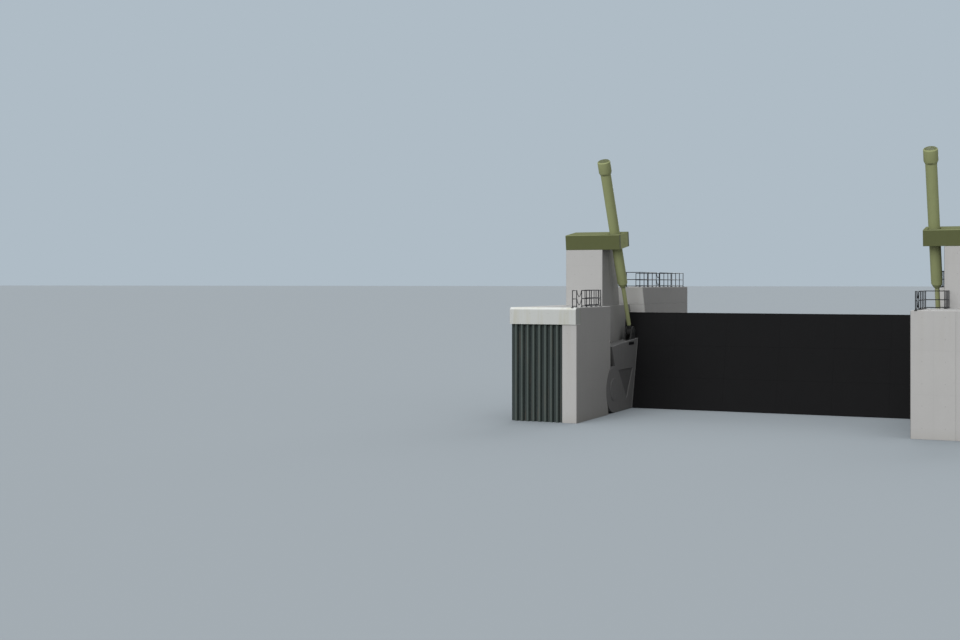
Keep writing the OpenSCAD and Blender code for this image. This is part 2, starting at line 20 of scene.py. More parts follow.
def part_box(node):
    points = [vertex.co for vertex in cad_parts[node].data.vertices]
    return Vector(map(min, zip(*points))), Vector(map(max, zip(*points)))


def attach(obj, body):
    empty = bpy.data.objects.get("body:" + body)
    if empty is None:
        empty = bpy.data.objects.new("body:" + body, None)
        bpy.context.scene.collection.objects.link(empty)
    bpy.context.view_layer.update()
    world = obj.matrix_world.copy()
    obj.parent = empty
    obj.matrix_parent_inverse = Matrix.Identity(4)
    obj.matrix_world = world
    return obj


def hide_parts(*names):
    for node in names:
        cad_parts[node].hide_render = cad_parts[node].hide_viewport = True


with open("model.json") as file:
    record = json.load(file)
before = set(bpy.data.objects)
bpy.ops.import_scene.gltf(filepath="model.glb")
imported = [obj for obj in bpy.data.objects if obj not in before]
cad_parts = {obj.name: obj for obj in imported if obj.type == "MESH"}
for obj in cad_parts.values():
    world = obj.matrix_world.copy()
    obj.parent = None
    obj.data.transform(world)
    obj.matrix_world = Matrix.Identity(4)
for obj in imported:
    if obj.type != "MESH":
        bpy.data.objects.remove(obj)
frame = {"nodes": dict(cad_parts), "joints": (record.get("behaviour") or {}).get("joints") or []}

LOG = logging.getLogger("flood_gate")
PHOTO_WIDTH = 960
PHOTO_HEIGHT = 640
QUARTER = math.radians(90)
# How far the leaf leans back
LEAN = math.radians(16.0)
# Points of a copied solid that are nearer than this are merged
MERGE_GAP = 0.0002
# Faces of a copied solid that meet at less than this become one face
FLAT_ANGLE = math.radians(0.6)
# Outer corners sharper than this are chamfered, where they reach higher than WATERLINE
CORNER_ANGLE = math.radians(30.0)
WATERLINE = 0.02
# Edges flatter than this many degrees are shaded smoothly, on round pieces and on flat ones
ROUND_SHADE = 22.0
FLAT_SHADE = 12.0
# A joint's own faces have their middles this near to its own, as a share of its width, and look
# across it by less than JOINT_FACING
JOINT_NEAR = 0.45
JOINT_FACING = 0.9
# Share of a joint's width by which its floor is narrower on each side
JOINT_TAPER = 0.15
Place = tuple[float, float, float]
Rgb = tuple[int, int, int]
Number = "float | Value"


def linear(colour: Rgb) -> tuple[float, float, float, float]:
    """Turns a colour as it is written on screens into the numbers that shaders use.

    Args:
        colour: Red, green and blue from 0 to 255.

    Returns:
        Linear red, green and blue from 0 to 1, and a full alpha.
    """
    parts = [part / 255 for part in colour]
    flat = [p / 12.92 if p <= 0.04045 else ((p + 0.055) / 1.055) ** 2.4 for p in parts]
    return (flat[0], flat[1], flat[2], 1.0)


def joint(name: str) -> dict:
    """One of the model's joints, by its name."""
    return next(entry for entry in frame["joints"] if entry["name"] == name)


class Side(Enum):
    """A side of the waterway. Its name starts the names of the solids that lie there."""

    LEFT = "left"
    RIGHT = "right"

    def __str__(self) -> str:
        """The side's name."""
        return self.value

    @property
    def sign(self) -> float:
        """Which way the side lies along X: -1 for the left, 1 for the right."""
        return -1.0 if self is Side.LEFT else 1.0

    def box(self, node: str) -> tuple[Vector, Vector]:
        """The lowest and the highest corner of one of this side's solids."""
        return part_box(f"{self}_{node}")

    def face(self, node: str) -> float:
        """Where the waterway's side of one of this side's solids lies along X."""
        return self.box(node)[1 if self is Side.LEFT else 0].x

    def inward(self) -> Matrix:
        """Turns what stands upright so that it points into the waterway."""
        return Matrix.Rotation(-self.sign * QUARTER, 4, "Y")


class Pick(Enum):
    """What an edit works on."""

    POINTS = "VERT"
    EDGES = "EDGE"
    FACES = "FACE"


def outer_corner(edge: bmesh.types.BMEdge) -> bool:
    """Finds the corners that are chamfered.

    Args:
        edge: An edge of a mesh.

    Returns:
        Whether it is a sharp outer corner that isn't at the waterline.
    """
    if max(point.co.z for point in edge.verts) < WATERLINE or not edge.is_manifold:
        return False
    return edge.is_convex and edge.calc_face_angle(0.0) > CORNER_ANGLE


class Bench:
    """One mesh on the workbench, shaped with the edit tools as by hand."""

    def __init__(self, thing: bpy.types.Object, name: str) -> None:
        """Takes a mesh object onto the bench.

        Args:
            thing: The mesh object.
            name: The name that it and its mesh get.
        """
        self.thing = thing
        thing.name = name
        thing.data.name = name

    @staticmethod
    def clear() -> None:
        """Deselects every object."""
        bpy.ops.object.select_all(action="DESELECT")

    def activate(self) -> None:
        """Makes this mesh the only selected object, and the active one."""
        self.clear()
        self.thing.select_set(True)
        bpy.context.view_layer.objects.active = self.thing

    def settle(self) -> None:
        """Moves the object's place, turn and scale into its mesh."""
        self.activate()
        bpy.ops.object.transform_apply(location=True, rotation=True, scale=True)

    @classmethod
    def block(cls, name: str, low: Sequence[float], high: Sequence[float]) -> "Bench":
        """Starts from a box.

        Args:
            name: The piece's name.
            low: Lowest corner.
            high: Highest corner.

        Returns:
            The box on the bench.
        """
        cls.clear()
        middle = (Vector(low) + Vector(high)) / 2
        bpy.ops.mesh.primitive_cube_add(size=1.0, location=middle)
        bench = cls(bpy.context.object, name)
        bench.thing.scale = Vector(high) - Vector(low)
        bench.settle()
        return bench

    @classmethod
    def bar(cls, name: str, start: Sequence[float], end: Sequence[float], radius: float,
            sides: int) -> "Bench":
        """Starts from a round or many-sided bar between two points.

        Args:
            name: The piece's name.
            start: Middle of the first end.
            end: Middle of the other end.
            radius: Radius of the bar.
            sides: Number of flat sides.

        Returns:
            The bar on the bench.
        """
        cls.clear()
        run = Vector(end) - Vector(start)
        turn = Vector((0, 0, 1)).rotation_difference(run).to_euler()
        bpy.ops.mesh.primitive_cylinder_add(vertices=sides, radius=radius, depth=run.length,
                                            location=(Vector(start) + Vector(end)) / 2, rotation=turn)
        bench = cls(bpy.context.object, name)
        bench.settle()
        return bench

    @classmethod
    def ring(cls, name: str, radius: float, wire: float, flats: tuple[int, int],
             height: float = 0.0) -> "Bench":
        """Starts from a round ring that lies flat.

        Args:
            name: The piece's name.
            radius: Radius of the ring's middle line.
            wire: Radius of the wire that it is bent from.
            flats: Number of flats round the ring, and round its wire.
            height: Height of the ring's middle.

        Returns:
            The ring on the bench.
        """
        cls.clear()
        bpy.ops.mesh.primitive_torus_add(location=(0, 0, height), major_radius=radius, minor_radius=wire,
                                         major_segments=flats[0], minor_segments=flats[1])
        bench = cls(bpy.context.object, name)
        bench.settle()
        return bench

    @classmethod
    def copied(cls, name: str, node: str) -> "Bench":
        """Starts from a merged copy of one of the model's own solids.

        Args:
            name: The piece's name.
            node: Name of the solid's node.

        Returns:
            The copy on the bench, with whole flat faces.
        """
        source = frame["nodes"][node]
        thing = source.copy()
        thing.data = source.data.copy()
        thing.parent = None
        for key in list(thing.keys()):
            del thing[key]
        bpy.context.scene.collection.objects.link(thing)
        thing.data.materials.clear()
        bench = cls(thing, name)
        bench.activate()
        bpy.ops.mesh.customdata_custom_splitnormals_clear()
        bench.edit(Pick.POINTS, None, partial(bpy.ops.mesh.remove_doubles, threshold=MERGE_GAP))
        bench.edit(Pick.FACES, None, partial(bpy.ops.mesh.dissolve_limited, angle_limit=FLAT_ANGLE))
        return bench

    def edit(self, kind: Pick, test: Callable | None, *steps: Callable) -> "Bench":
        """Runs edit tools on the points, edges or faces that pass a test.

        Args:
            kind: What is selected.
            test: Says whether an element is selected, or None for all.
            steps: Edit tools, with their settings.

        Returns:
            This bench.
        """
        self.activate()
        bpy.ops.object.mode_set(mode="EDIT")
        bpy.ops.mesh.select_mode(type=kind.value)
        bpy.ops.mesh.select_all(action="SELECT" if test is None else "DESELECT")
        if test is not None:
            mesh = bmesh.from_edit_mesh(self.thing.data)
            mesh.normal_update()
            chosen = {Pick.POINTS: mesh.verts, Pick.EDGES: mesh.edges, Pick.FACES: mesh.faces}[kind]
            for element in chosen:
                element.select_set(bool(test(element)))
            mesh.select_flush_mode()
            bmesh.update_edit_mesh(self.thing.data)
        for step in steps:
            step()
        bpy.ops.object.mode_set(mode="OBJECT")
        return self

    def twin(self, matrix: Matrix) -> "Bench":
        """Copies this mesh, with a mesh of its own, to another place.

        Args:
            matrix: Where the copy goes, from here.

        Returns:
            The copy.
        """
        thing = self.thing.copy()
        thing.data = self.thing.data.copy()
        thing.data.transform(matrix)
        bpy.context.scene.collection.objects.link(thing)
        return Bench(thing, self.thing.name + "_copy")

    def repeat(self, name: str, places: Iterable[Matrix]) -> "Bench":
        """Copies this mesh to many places and gives up the first one.

        Args:
            name: Name of the joined copies.
            places: Where the copies go, from here.

        Returns:
            All copies as one mesh.
        """
        copies = [self.twin(place) for place in places]
        mesh = self.thing.data
        bpy.data.objects.remove(self.thing)
        bpy.data.meshes.remove(mesh)
        return Bench.joined(name, copies)

    def moved(self, matrix: Matrix) -> "Bench":
        """Moves the mesh itself to another place."""
        self.thing.data.transform(matrix)
        return self

    def chamfer(self, width: float, segments: int = 1, test: Callable = outer_corner) -> "Bench":
        """Takes the sharpness off the outer corners.

        Args:
            width: Width of the chamfer.
            segments: Number of flats, more for a rounder edge.
            test: Says which edges are chamfered.

        Returns:
            This bench.
        """
        step = partial(bpy.ops.mesh.bevel, offset=width, offset_type="OFFSET", segments=segments,
                       affect="EDGES", clamp_overlap=True)
        return self.edit(Pick.EDGES, test, step)

    def groove(self, across: Sequence[float], offset: float, width: float, depth: float) -> "Bench":
        """Cuts a narrow joint right round the piece.

        Args:
            across: Direction across the joint.
            offset: How far along that direction the joint's middle lies.
            width: Width of the joint.
            depth: Depth of the joint.

        Returns:
            This bench.
        """
        facing = Vector(across)

        def in_joint(face: bmesh.types.BMFace) -> bool:
            """Whether a face lies between the two cuts and not along them."""
            off = abs(face.calc_center_median().dot(facing) - offset)
            return off < width * JOINT_NEAR and abs(face.normal.dot(facing)) < JOINT_FACING

        for cut in (offset - width / 2, offset + width / 2):
            self.edit(Pick.FACES, None,
                      partial(bpy.ops.mesh.bisect, plane_no=facing, plane_co=facing * cut))
        return self.edit(Pick.FACES, in_joint,
                         partial(bpy.ops.mesh.inset, thickness=width * JOINT_TAPER, depth=-depth))

    def join(self, others: Iterable["Bench"]) -> "Bench":
        """Joins other meshes into this one.

        Args:
            others: What is joined in.

        Returns:
            This bench.
        """
        self.activate()
        for other in others:
            other.thing.select_set(True)
        bpy.ops.object.join()
        return self

    @staticmethod
    def joined(name: str, parts: Sequence["Bench"]) -> "Bench":
        """Joins meshes into one under a name of its own."""
        return Bench(parts[0].join(parts[1:]).thing, name)

    def smooth(self, degrees: float = ROUND_SHADE) -> "Bench":
        """Shades smoothly across edges that are flat enough.

        Args:
            degrees: Edges flatter than this are shaded smoothly.

        Returns:
            This bench.
        """
        self.activate()
        bpy.ops.object.shade_smooth_by_angle(angle=math.radians(degrees))
        return self

    def fit(self, body: str, finish: "Finish", slot: str, replaces: Sequence[str] = ()) -> None:
        """Dresses the finished piece and hangs it on its body.

        Args:
            body: The body that it moves with.
            finish: What it is painted with.
            slot: The record's material slot; not used.
            replaces: Nodes that it stands for.
        """
        self.settle()
        self.thing.data.materials.clear()
        self.thing.data.materials.append(finish.material())
        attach(self.thing, body)
        if replaces:
            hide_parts(*replaces)
        LOG.info("%s: %d faces on %s", self.thing.name, len(self.thing.data.polygons), body)


@dataclass(frozen=True)
class Bolt:
    """A hexagon bolt head on its washer, drawn standing on the origin."""

    radius: float
    height: float
    washer: float
    washer_share: float = 1.3
    chamfer: float = 0.0

    def model(self) -> Bench:
        """Models one bolt.

        Returns:
            Its head and its washer. Only the head of a large bolt has a chamfer.
        """
        foot, top = (0, 0, self.washer), (0, 0, self.washer + self.height)
        head = Bench.bar("bolt", foot, top, self.radius, sides=6)
        if self.chamfer:
            head.chamfer(self.chamfer)
        rim_radius = self.radius * self.washer_share
        return head.join([Bench.bar("washer", (0, 0, 0), foot, rim_radius, sides=16)])

    def circle(self, name: str, count: int, radius: float, place: Matrix) -> Bench:
        """Sets bolts round a circle.

        Args:
            name: Name of the joined bolts.
            count: Number of bolts.
            radius: Radius of the circle.
            place: Where the circle's middle lies, with its Z outwards.

        Returns:
            The bolts.
        """
        out = Matrix.Translation((radius, 0, 0))
        turns = [Matrix.Rotation(math.tau * i / count, 4, "Z") for i in range(count)]
        return self.model().repeat(name, [place @ turn @ out for turn in turns])


class Value:
    """A socket's number, which takes Python's operators and adds the Math nodes for them."""

    def __init__(self, graph: "Graph", socket: bpy.types.NodeSocket) -> None:
        """Wraps an output socket of a graph."""
        self.graph = graph
        self.socket = socket

    def _math(self, operation: str, *terms: Number, clamp: bool = False) -> "Value":
        """Adds one Math node.

        Args:
            operation: The node's operation.
            terms: Its inputs, in order.
            clamp: Whether the result stays from 0 to 1.

        Returns:
            The result.
        """
        return self.graph.value("ShaderNodeMath", dict(enumerate(terms)),
                                operation=operation, use_clamp=clamp)

    def __add__(self, other: Number) -> "Value":
        """Sum."""
        return self._math("ADD", self, other)

    __radd__ = __add__

    def __sub__(self, other: Number) -> "Value":
        """Difference."""
        return self._math("SUBTRACT", self, other)

    def __rsub__(self, other: Number) -> "Value":
        """Difference from another number."""
        return self._math("SUBTRACT", other, self)

    def __mul__(self, other: Number) -> "Value":
        """Product."""
        return self._math("MULTIPLY", self, other)

    __rmul__ = __mul__

    def __truediv__(self, other: Number) -> "Value":
        """Quotient."""
        return self._math("DIVIDE", self, other)

    def __pow__(self, other: Number) -> "Value":
        """Power."""
        return self._math("POWER", self, other)

    def __abs__(self) -> "Value":
        """Size without its sign."""
        return self._math("ABSOLUTE", self)

    def clamp(self) -> "Value":
        """Keeps the number from 0 to 1."""
        return self._math("ADD", self, 0.0, clamp=True)

    def sway(self, share: float) -> "Value":
        """Turns a pattern from 0 to 1 into one that swings round 0 by half a share each way."""
        return (self - 0.5) * share

    def above(self, limit: float, soft: float = 0.1) -> "Value":
        """Rises from 0 to 1 round a limit.

        Args:
            limit: Where it is a half.
            soft: Width of the rise.

        Returns:
            The mask.
        """
        return ((self - (limit - soft / 2)) / soft).clamp()

    def below(self, limit: float, soft: float = 0.1) -> "Value":
        """Falls from 1 to 0 round a limit, over a width."""
        return 1.0 - self.above(limit, soft)

    def from_middle(self, step: float) -> "Value":
        """Distance from the middle of the step that the number is in."""
        return self._math("FRACT", self / step).sway(step)

    def near_step(self, step: float, reach: float) -> "Value":
        """Marks lines at every step.

        Args:
            step: Distance between the lines.
            reach: Half width of a line.

        Returns:
            1 on a line, 0 off it.
        """
        return abs(self.from_middle(step)).above(step / 2 - reach, reach)


@dataclass(frozen=True)
class Clouds:
    """A cloudy pattern of a finish.

    It has a number of clouds in a metre and finer layers of some strength, and is stretched along
    the axes. It shows by its shares of the tone and of the relief, or as spots where it rises past
    a limit, over a width.
    """

    scale: float
    layers: float
    layer_strength: float = 0.55
    stretch: Place = (1.0, 1.0, 1.0)
    tone: float = 0.0
    relief: float = 0.0
    spots_from: float = 0.5
    spots_fade: float = 0.1

    def spots(self, noise: Value) -> Value:
        """The spots of the pattern, from 0 to 1, where its noise is strong."""
        return noise.above(self.spots_from, self.spots_fade)


class Graph:
    """The nodes of one material or of the world."""

    def __init__(self, owner: bpy.types.Material | bpy.types.World) -> None:
        """Starts with no nodes at all.

        Args:
            owner: The material or the world.
        """
        self.owner = owner
        owner.use_nodes = True
        owner.node_tree.nodes.clear()

    def node(self, kind: str, inputs: dict, **settings: object) -> bpy.types.Node:
        """Adds a node.

        Args:
            kind: The node's type.
            inputs: Values, numbers or colours for its sockets, by number or name.
            settings: The node's own settings, which are set first.

        Returns:
            The node.
        """
        tree = self.owner.node_tree
        node = tree.nodes.new(kind)
        for key, setting in settings.items():
            setattr(node, key, setting)
        for key, given in inputs.items():
            if isinstance(given, Value):
                tree.links.new(given.socket, node.inputs[key])
            else:
                node.inputs[key].default_value = given
        return node

    def value(self, kind: str, inputs: dict, output: int | str = 0, **settings: object) -> Value:
        """Adds a node and takes what it gives.

        Args:
            kind: The node's type.
            inputs: Values, numbers or colours for its sockets, by number or name.
            output: The socket that is wanted.
            settings: The node's own settings.

        Returns:
            The wanted output.
        """
        return Value(self, self.node(kind, inputs, **settings).outputs[output])

    def show(self, shader: Value) -> None:
        """Makes a shader the look of the material or of the world."""
        kind = "World" if isinstance(self.owner, bpy.types.World) else "Material"
        self.node("ShaderNodeOutput" + kind, {"Surface": shader})

    def place(self, stretch: Place = (1.0, 1.0, 1.0)) -> Value:
        """The place on the object, in metres, stretched along its axes."""
        spot = self.value("ShaderNodeTexCoord", {}, "Object")
        return self.value("ShaderNodeMapping", {"Vector": spot, "Scale": stretch}, vector_type="POINT")

    def axis(self, vector: Value, name: str) -> Value:
        """One part of a vector, by the name X, Y or Z."""
        return self.value("ShaderNodeSeparateXYZ", {0: vector}, name)

    def outward(self, name: str) -> Value:
        """How much the surface faces along an axis, from -1 to 1."""
        return self.axis(self.value("ShaderNodeTexCoord", {}, "Normal"), name)

    def facing(self, name: str) -> Value:
        """How much the surface faces along an axis, whichever way."""
        return abs(self.outward(name))

    def noise(self, clouds: Clouds) -> Value:
        """Lays out a cloudy pattern.

        Args:
            clouds: The pattern.

        Returns:
            Noise from 0 to 1.
        """
        return self.value("ShaderNodeTexNoise", {"Vector": self.place(clouds.stretch),
                                                 "Scale": clouds.scale, "Detail": clouds.layers,
                                                 "Roughness": clouds.layer_strength})

    def mix(self, mask: Number, first: object, second: object) -> Value:
        """Mixes two colours.

        Args:
            mask: Share of the second colour.
            first: Colour where the mask is 0.
            second: Colour where the mask is 1.

        Returns:
            The mixed colour.
        """
        return self.value("ShaderNodeMix", {0: mask, 6: first, 7: second}, 2, data_type="RGBA")

    def shade(self, colour: object, strength: Number) -> Value:
        """Makes a colour brighter or darker by a number."""
        return self.value("ShaderNodeVectorMath", {0: colour, "Scale": strength}, operation="SCALE")

    def surface(self, colour: Value, rough: Value, height: Value, depth: float, gloss: float) -> Value:
        """Adds the shader of a painted or cast surface.

        Args:
            colour: Base colour.
            rough: Roughness.
            height: Relief from 0 to 1.
            depth: Depth of the relief in metres.
            gloss: Strength of the clear reflection.

        Returns:
            The shader.
        """
        bump = self.value("ShaderNodeBump", {"Height": height, "Distance": depth, "Strength": 1.0})
        return self.value("ShaderNodeBsdfPrincipled", {"Base Color": colour, "Roughness": rough,
                                                       "Specular IOR Level": gloss, "Normal": bump})


@dataclass(frozen=True)
class Finish(ABC):
    """A finish that is made once and shared by the pieces that have it."""

    name: str
    colour: Rgb

    def material(self) -> bpy.types.Material:
        """Finds the finish's material, or makes it when it is first wanted.

        Returns:
            The material.
        """
        made = bpy.data.materials.get(self.name)
        if made is None:
            made = bpy.data.materials.new(self.name)
            graph = Graph(made)
            graph.show(self.make(graph))
        return made

    @abstractmethod
    def make(self, graph: Graph) -> Value:
        """Lays out the nodes of the finish and gives its shader."""


@dataclass(frozen=True)
class CastConcrete(Finish):
    """Fair-faced concrete with the marks of its formwork, tie holes and faint water streaks.

    The faces towards the waterway are darker, as painted shade on the channel sides. The
    overhanging faces are paler, as painted light on the faces that look down, and level faces can
    be paler, as painted light on the tops.
    """

    cloud: Clouds = Clouds(0.32, 5.0, tone=0.10, relief=0.5)
    grain: Clouds = Clouds(14.0, 6.0, 0.7, tone=0.07, relief=0.35)
    streak: Clouds = Clouds(1.6, 5.0, 0.6, (1.0, 1.0, 0.07), tone=0.07, spots_from=0.62, spots_fade=0.2)
    pores: Clouds = Clouds(55.0, 2.0, 0.5, tone=0.12, relief=0.5, spots_from=0.72, spots_fade=0.05)
    sideways_from: float = 0.5
    level_from: float = 0.7
    sheet_width: float = 1.25
    sheet_height: float = 2.5
    upright_seam: float = 0.006
    level_seam: float = 0.008
    seam_tone: float = 0.04
    seam_relief: float = 0.5
    tie_pitch: float = 1.25
    tie_radius: float = 0.022
    tie_edge: float = 0.012
    tie_tone: float = 0.25
    tie_relief: float = 1.2
    # Painted shade on the faces towards the waterway, within a reach of the middle
    damp: float = 0.33
    channel_shade_reach: float = 12.0
    channel_shade_fade: float = 0.2
    # Painted light on level faces
    top_light: float = 0.0
    top_light_from: float = 0.6
    # Painted light on the faces that look down
    underside_light: float = 0.85
    underside_light_from: float = -0.2
    stain: Rgb = (128, 120, 100)
    stain_share: float = 0.10
    splash_height: float = 0.35
    splash_fade: float = 0.6
    splash_share: float = 0.12
    rough: float = 0.9
    rough_swing: float = 0.12
    depth: float = 0.006
    gloss: float = 0.2

    def make(self, graph: Graph) -> Value:
        """Lays out the nodes of the finish.

        Args:
            graph: The nodes of its material.

        Returns:
            Its shader.
        """
        spot = graph.place()
        across, up = graph.axis(spot, "X"), graph.axis(spot, "Z")
        sideways = graph.facing("X").above(self.sideways_from)
        upright = graph.facing("Z").below(self.level_from)
        along = graph.axis(spot, "Y") * sideways + across * (1.0 - sideways)
        cloud, grain, streak = (graph.noise(kind) for kind in (self.cloud, self.grain, self.streak))
        pores = self.pores.spots(graph.noise(self.pores))
        seams = up.near_step(self.sheet_height, self.level_seam)
        seams = (seams + along.near_step(self.sheet_width, self.upright_seam)).clamp() * upright
        off_along, off_up = along.from_middle(self.tie_pitch), up.from_middle(self.tie_pitch)
        ties = ((off_along * off_along + off_up * off_up) ** 0.5).below(self.tie_radius, self.tie_edge)
        ties = ties * upright
        tone = 1.0 + cloud.sway(self.cloud.tone) + grain.sway(self.grain.tone)
        tone = tone + streak.sway(self.streak.tone)
        tone = tone - seams * self.seam_tone - ties * self.tie_tone - pores * self.pores.tone
        # Painted shade: the channel sides are darker, to stand in for the shade that falls on them
        tone = tone - sideways * abs(across).below(self.channel_shade_reach, self.channel_shade_fade) * self.damp
        # Painted light: level faces are paler, to stand in for the light on the tops
        tone = tone + graph.facing("Z").above(self.top_light_from) * self.top_light
        # Painted light: faces that look down are paler, to stand in for light that reaches them
        tone = tone + graph.outward("Z").below(self.underside_light_from) * self.underside_light
        splash = up.below(self.splash_height, self.splash_fade) * self.splash_share
        stained = (self.streak.spots(streak) * self.stain_share + splash).clamp()
        colour = graph.shade(graph.mix(stained, linear(self.colour), linear(self.stain)), tone)
        height = cloud * self.cloud.relief + grain * self.grain.relief - pores * self.pores.relief
        height = height - seams * self.seam_relief - ties * self.tie_relief
        rough = self.rough - grain * self.rough_swing
        return graph.surface(colour, rough, height, self.depth, self.gloss)


@dataclass(frozen=True)
class SteelPaint(Finish):
    """Paint on welded steel, with faint runs of dirt and a little unevenness.

    Level faces can be darker, as painted shade on the tops.
    """

    rough: float
    gloss: float
    dirt: Rgb
    # Painted shade on level faces
    top_shade: float = 0.0
    top_shade_from: float = 0.7
    cloud: Clouds = Clouds(1.1, 4.0, tone=0.08, relief=0.6)
    grain: Clouds = Clouds(60.0, 3.0, 0.6, tone=0.032, relief=0.4)
    runs: Clouds = Clouds(5.0, 5.0, 0.6, (1.0, 1.0, 0.06), spots_from=0.6, spots_fade=0.22)
    dirt_share: float = 0.12
    rough_swing: float = 0.2
    dirt_rough: float = 0.5
    depth: float = 0.0012

    def make(self, graph: Graph) -> Value:
        """Lays out the nodes of the finish.

        Args:
            graph: The nodes of its material.

        Returns:
            Its shader.
        """
        cloud, grain = graph.noise(self.cloud), graph.noise(self.grain)
        tone = 1.0 + cloud.sway(self.cloud.tone) + grain.sway(self.grain.tone) - self.painted_shade(graph)
        dirty = self.runs.spots(graph.noise(self.runs)) * self.dirt_share
        colour = graph.shade(graph.mix(dirty, linear(self.colour), linear(self.dirt)), tone)
        rough = self.rough + cloud.sway(self.rough_swing) + dirty * self.dirt_rough
        height = cloud * self.cloud.relief + grain * self.grain.relief
        return graph.surface(colour, rough, height, self.depth, self.gloss)

    def painted_shade(self, graph: Graph) -> Value:
        """How much painted shade darkens the paint in each place."""
        return graph.facing("Z").above(self.top_shade_from) * self.top_shade


@dataclass(frozen=True)
class ArmPaint(SteelPaint):
    """Paint on the arms, with painted shade on the floor of the three-cornered hollow."""

    hollow_shade: float = 0.34
    hollow_start: float = 0.05
    hollow_fades: tuple[float, float] = (0.01, 0.02)
    floor_from: float = 0.9

    def painted_shade(self, graph: Graph) -> Value:
        """Finds the hollow's floor, where shade is painted.

        Args:
            graph: The nodes of its material.

        Returns:
            How much painted shade darkens the paint in each place.
        """
        across = abs(graph.axis(graph.place(), "X"))
        start = Side.RIGHT.face("arm") + self.hollow_start
        inside = across.above(start, self.hollow_fades[0])
        inside = inside * across.below(Side.RIGHT.face("lugs"), self.hollow_fades[1])
        # Painted shade in the hollow's recess
        return inside * graph.facing("X").above(self.floor_from) * self.hollow_shade


@dataclass(frozen=True)
class TidalSteel(Finish):
    """Coated sheet piles, pale in front, with painted shade at the back of the folds, and dark and wet
    below.
    """

    cloud: Clouds = Clouds(0.9, 5.0, tone=0.25, relief=0.3)
    grain: Clouds = Clouds(40.0, 4.0, 0.65, tone=0.2, relief=0.7)
    streak: Clouds = Clouds(6.0, 5.0, 0.6, (1.0, 1.0, 0.05), tone=0.3, spots_from=0.63, spots_fade=0.14)
    # Painted shade at the back of the folds
    fold_shade: Rgb = (50, 58, 57)
    fold_shade_start: float = 0.16
    fold_shade_edge: float = 0.03
    wet: Rgb = (56, 65, 63)
    wet_share: float = 0.3
    tide_height: float = 3.2
    tide_fade: float = 2.4
    tide_cloud: float = 1.2
    tide_streak: float = 1.6
    rust: Rgb = (88, 72, 56)
    rust_share: float = 0.4
    rough: float = 0.75
    wet_smooth: float = 0.15
    depth: float = 0.003
    gloss: float = 0.2

    def make(self, graph: Graph) -> Value:
        """Lays out the nodes of the finish.

        Args:
            graph: The nodes of its material.

        Returns:
            Its shader.
        """
        cloud, grain, streak = (graph.noise(kind) for kind in (self.cloud, self.grain, self.streak))
        front = Side.LEFT.box("sheet_piles")[0].y + self.fold_shade_start
        in_fold_shade = graph.axis(graph.place(), "Y").above(front, self.fold_shade_edge)
        tide = cloud.sway(self.tide_cloud) + streak.sway(self.tide_streak)
        wet = (graph.axis(graph.place(), "Z") + tide).below(self.tide_height, self.tide_fade)
        rusty = self.streak.spots(streak) * self.rust_share
        # Painted shade: the backs of the folds are darker
        base = graph.mix(in_fold_shade, linear(self.colour), linear(self.fold_shade))
        base = graph.mix(wet * self.wet_share, base, linear(self.wet))
        tone = 1.0 + cloud.sway(self.cloud.tone) + grain.sway(self.grain.tone)
        tone = tone + streak.sway(self.streak.tone)
        colour = graph.shade(graph.mix(rusty, base, linear(self.rust)), tone)
        height = cloud * self.cloud.relief + grain * self.grain.relief
        return graph.surface(colour, self.rough - wet * self.wet_smooth, height, self.depth, self.gloss)


CONCRETE = CastConcrete("cast_concrete", (171, 171, 170))
# Pale concrete, with stronger painted shade on its channel side and painted light on its top
CAPPING = CastConcrete("pale_concrete", (183, 186, 184), damp=0.42, stain_share=0.5, top_light=0.32,
                       stain=(160, 156, 126))
GATE_PAINT = SteelPaint("gate_black", (24, 24, 25), rough=0.7, gloss=0.04, dirt=(34, 34, 32))
ARM_PAINT = ArmPaint("arm_grey", (108, 108, 108), rough=0.6, gloss=0.12, dirt=(60, 58, 54))
# Painted shade: the lugs, the rod eye and the bolts of the pin covers are near black, to stand in for the
# shade between the lug plates
LUG_SHADE_PAINT = SteelPaint("lug_grey_painted_shade", (52, 52, 52), rough=0.6, gloss=0.12, dirt=(40, 38, 34))
BEAM_PAINT = SteelPaint("beam_olive", (86, 91, 58), rough=0.5, gloss=0.15, dirt=(78, 78, 48))
# Painted light: the cradle plates are a paler olive than the beams, so that their ends towards the
# waterway, which stand in shade, look lit. Their tops have painted shade
PLATE_LIT_PAINT = SteelPaint("plate_olive_painted_light", (154, 161, 120), rough=0.7, gloss=0.0, dirt=(116, 118, 80),
                         top_shade=0.5)
CYLINDER_PAINT = SteelPaint("cylinder_olive", (144, 151, 109), rough=0.5, gloss=0.12, dirt=(120, 122, 84))
# The cap's top has painted shade
CAP_PAINT = SteelPaint("cap_olive", (147, 154, 112), rough=0.5, gloss=0.06, dirt=(116, 118, 80), top_shade=0.6)
# Painted light: the rod is a paler olive than the barrel, to lift it out of the shade of the barrel and
# the cradle
ROD_LIT_PAINT = SteelPaint("rod_olive_painted_light", (150, 156, 114), rough=0.4, gloss=0.2, dirt=(124, 126, 88))
RAIL_PAINT = SteelPaint("rail_black", (22, 23, 26), rough=0.45, gloss=0.2, dirt=(60, 52, 44))
SEAL_RUBBER = SteelPaint("black_rubber", (24, 24, 24), rough=0.8, gloss=0.15, dirt=(50, 50, 46))
PILE_STEEL = TidalSteel("tidal_steel", (75, 84, 81))
STRIP_PAINT = SteelPaint("strip_grey", (118, 118, 118), rough=0.6, gloss=0.12, dirt=(80, 78, 72))


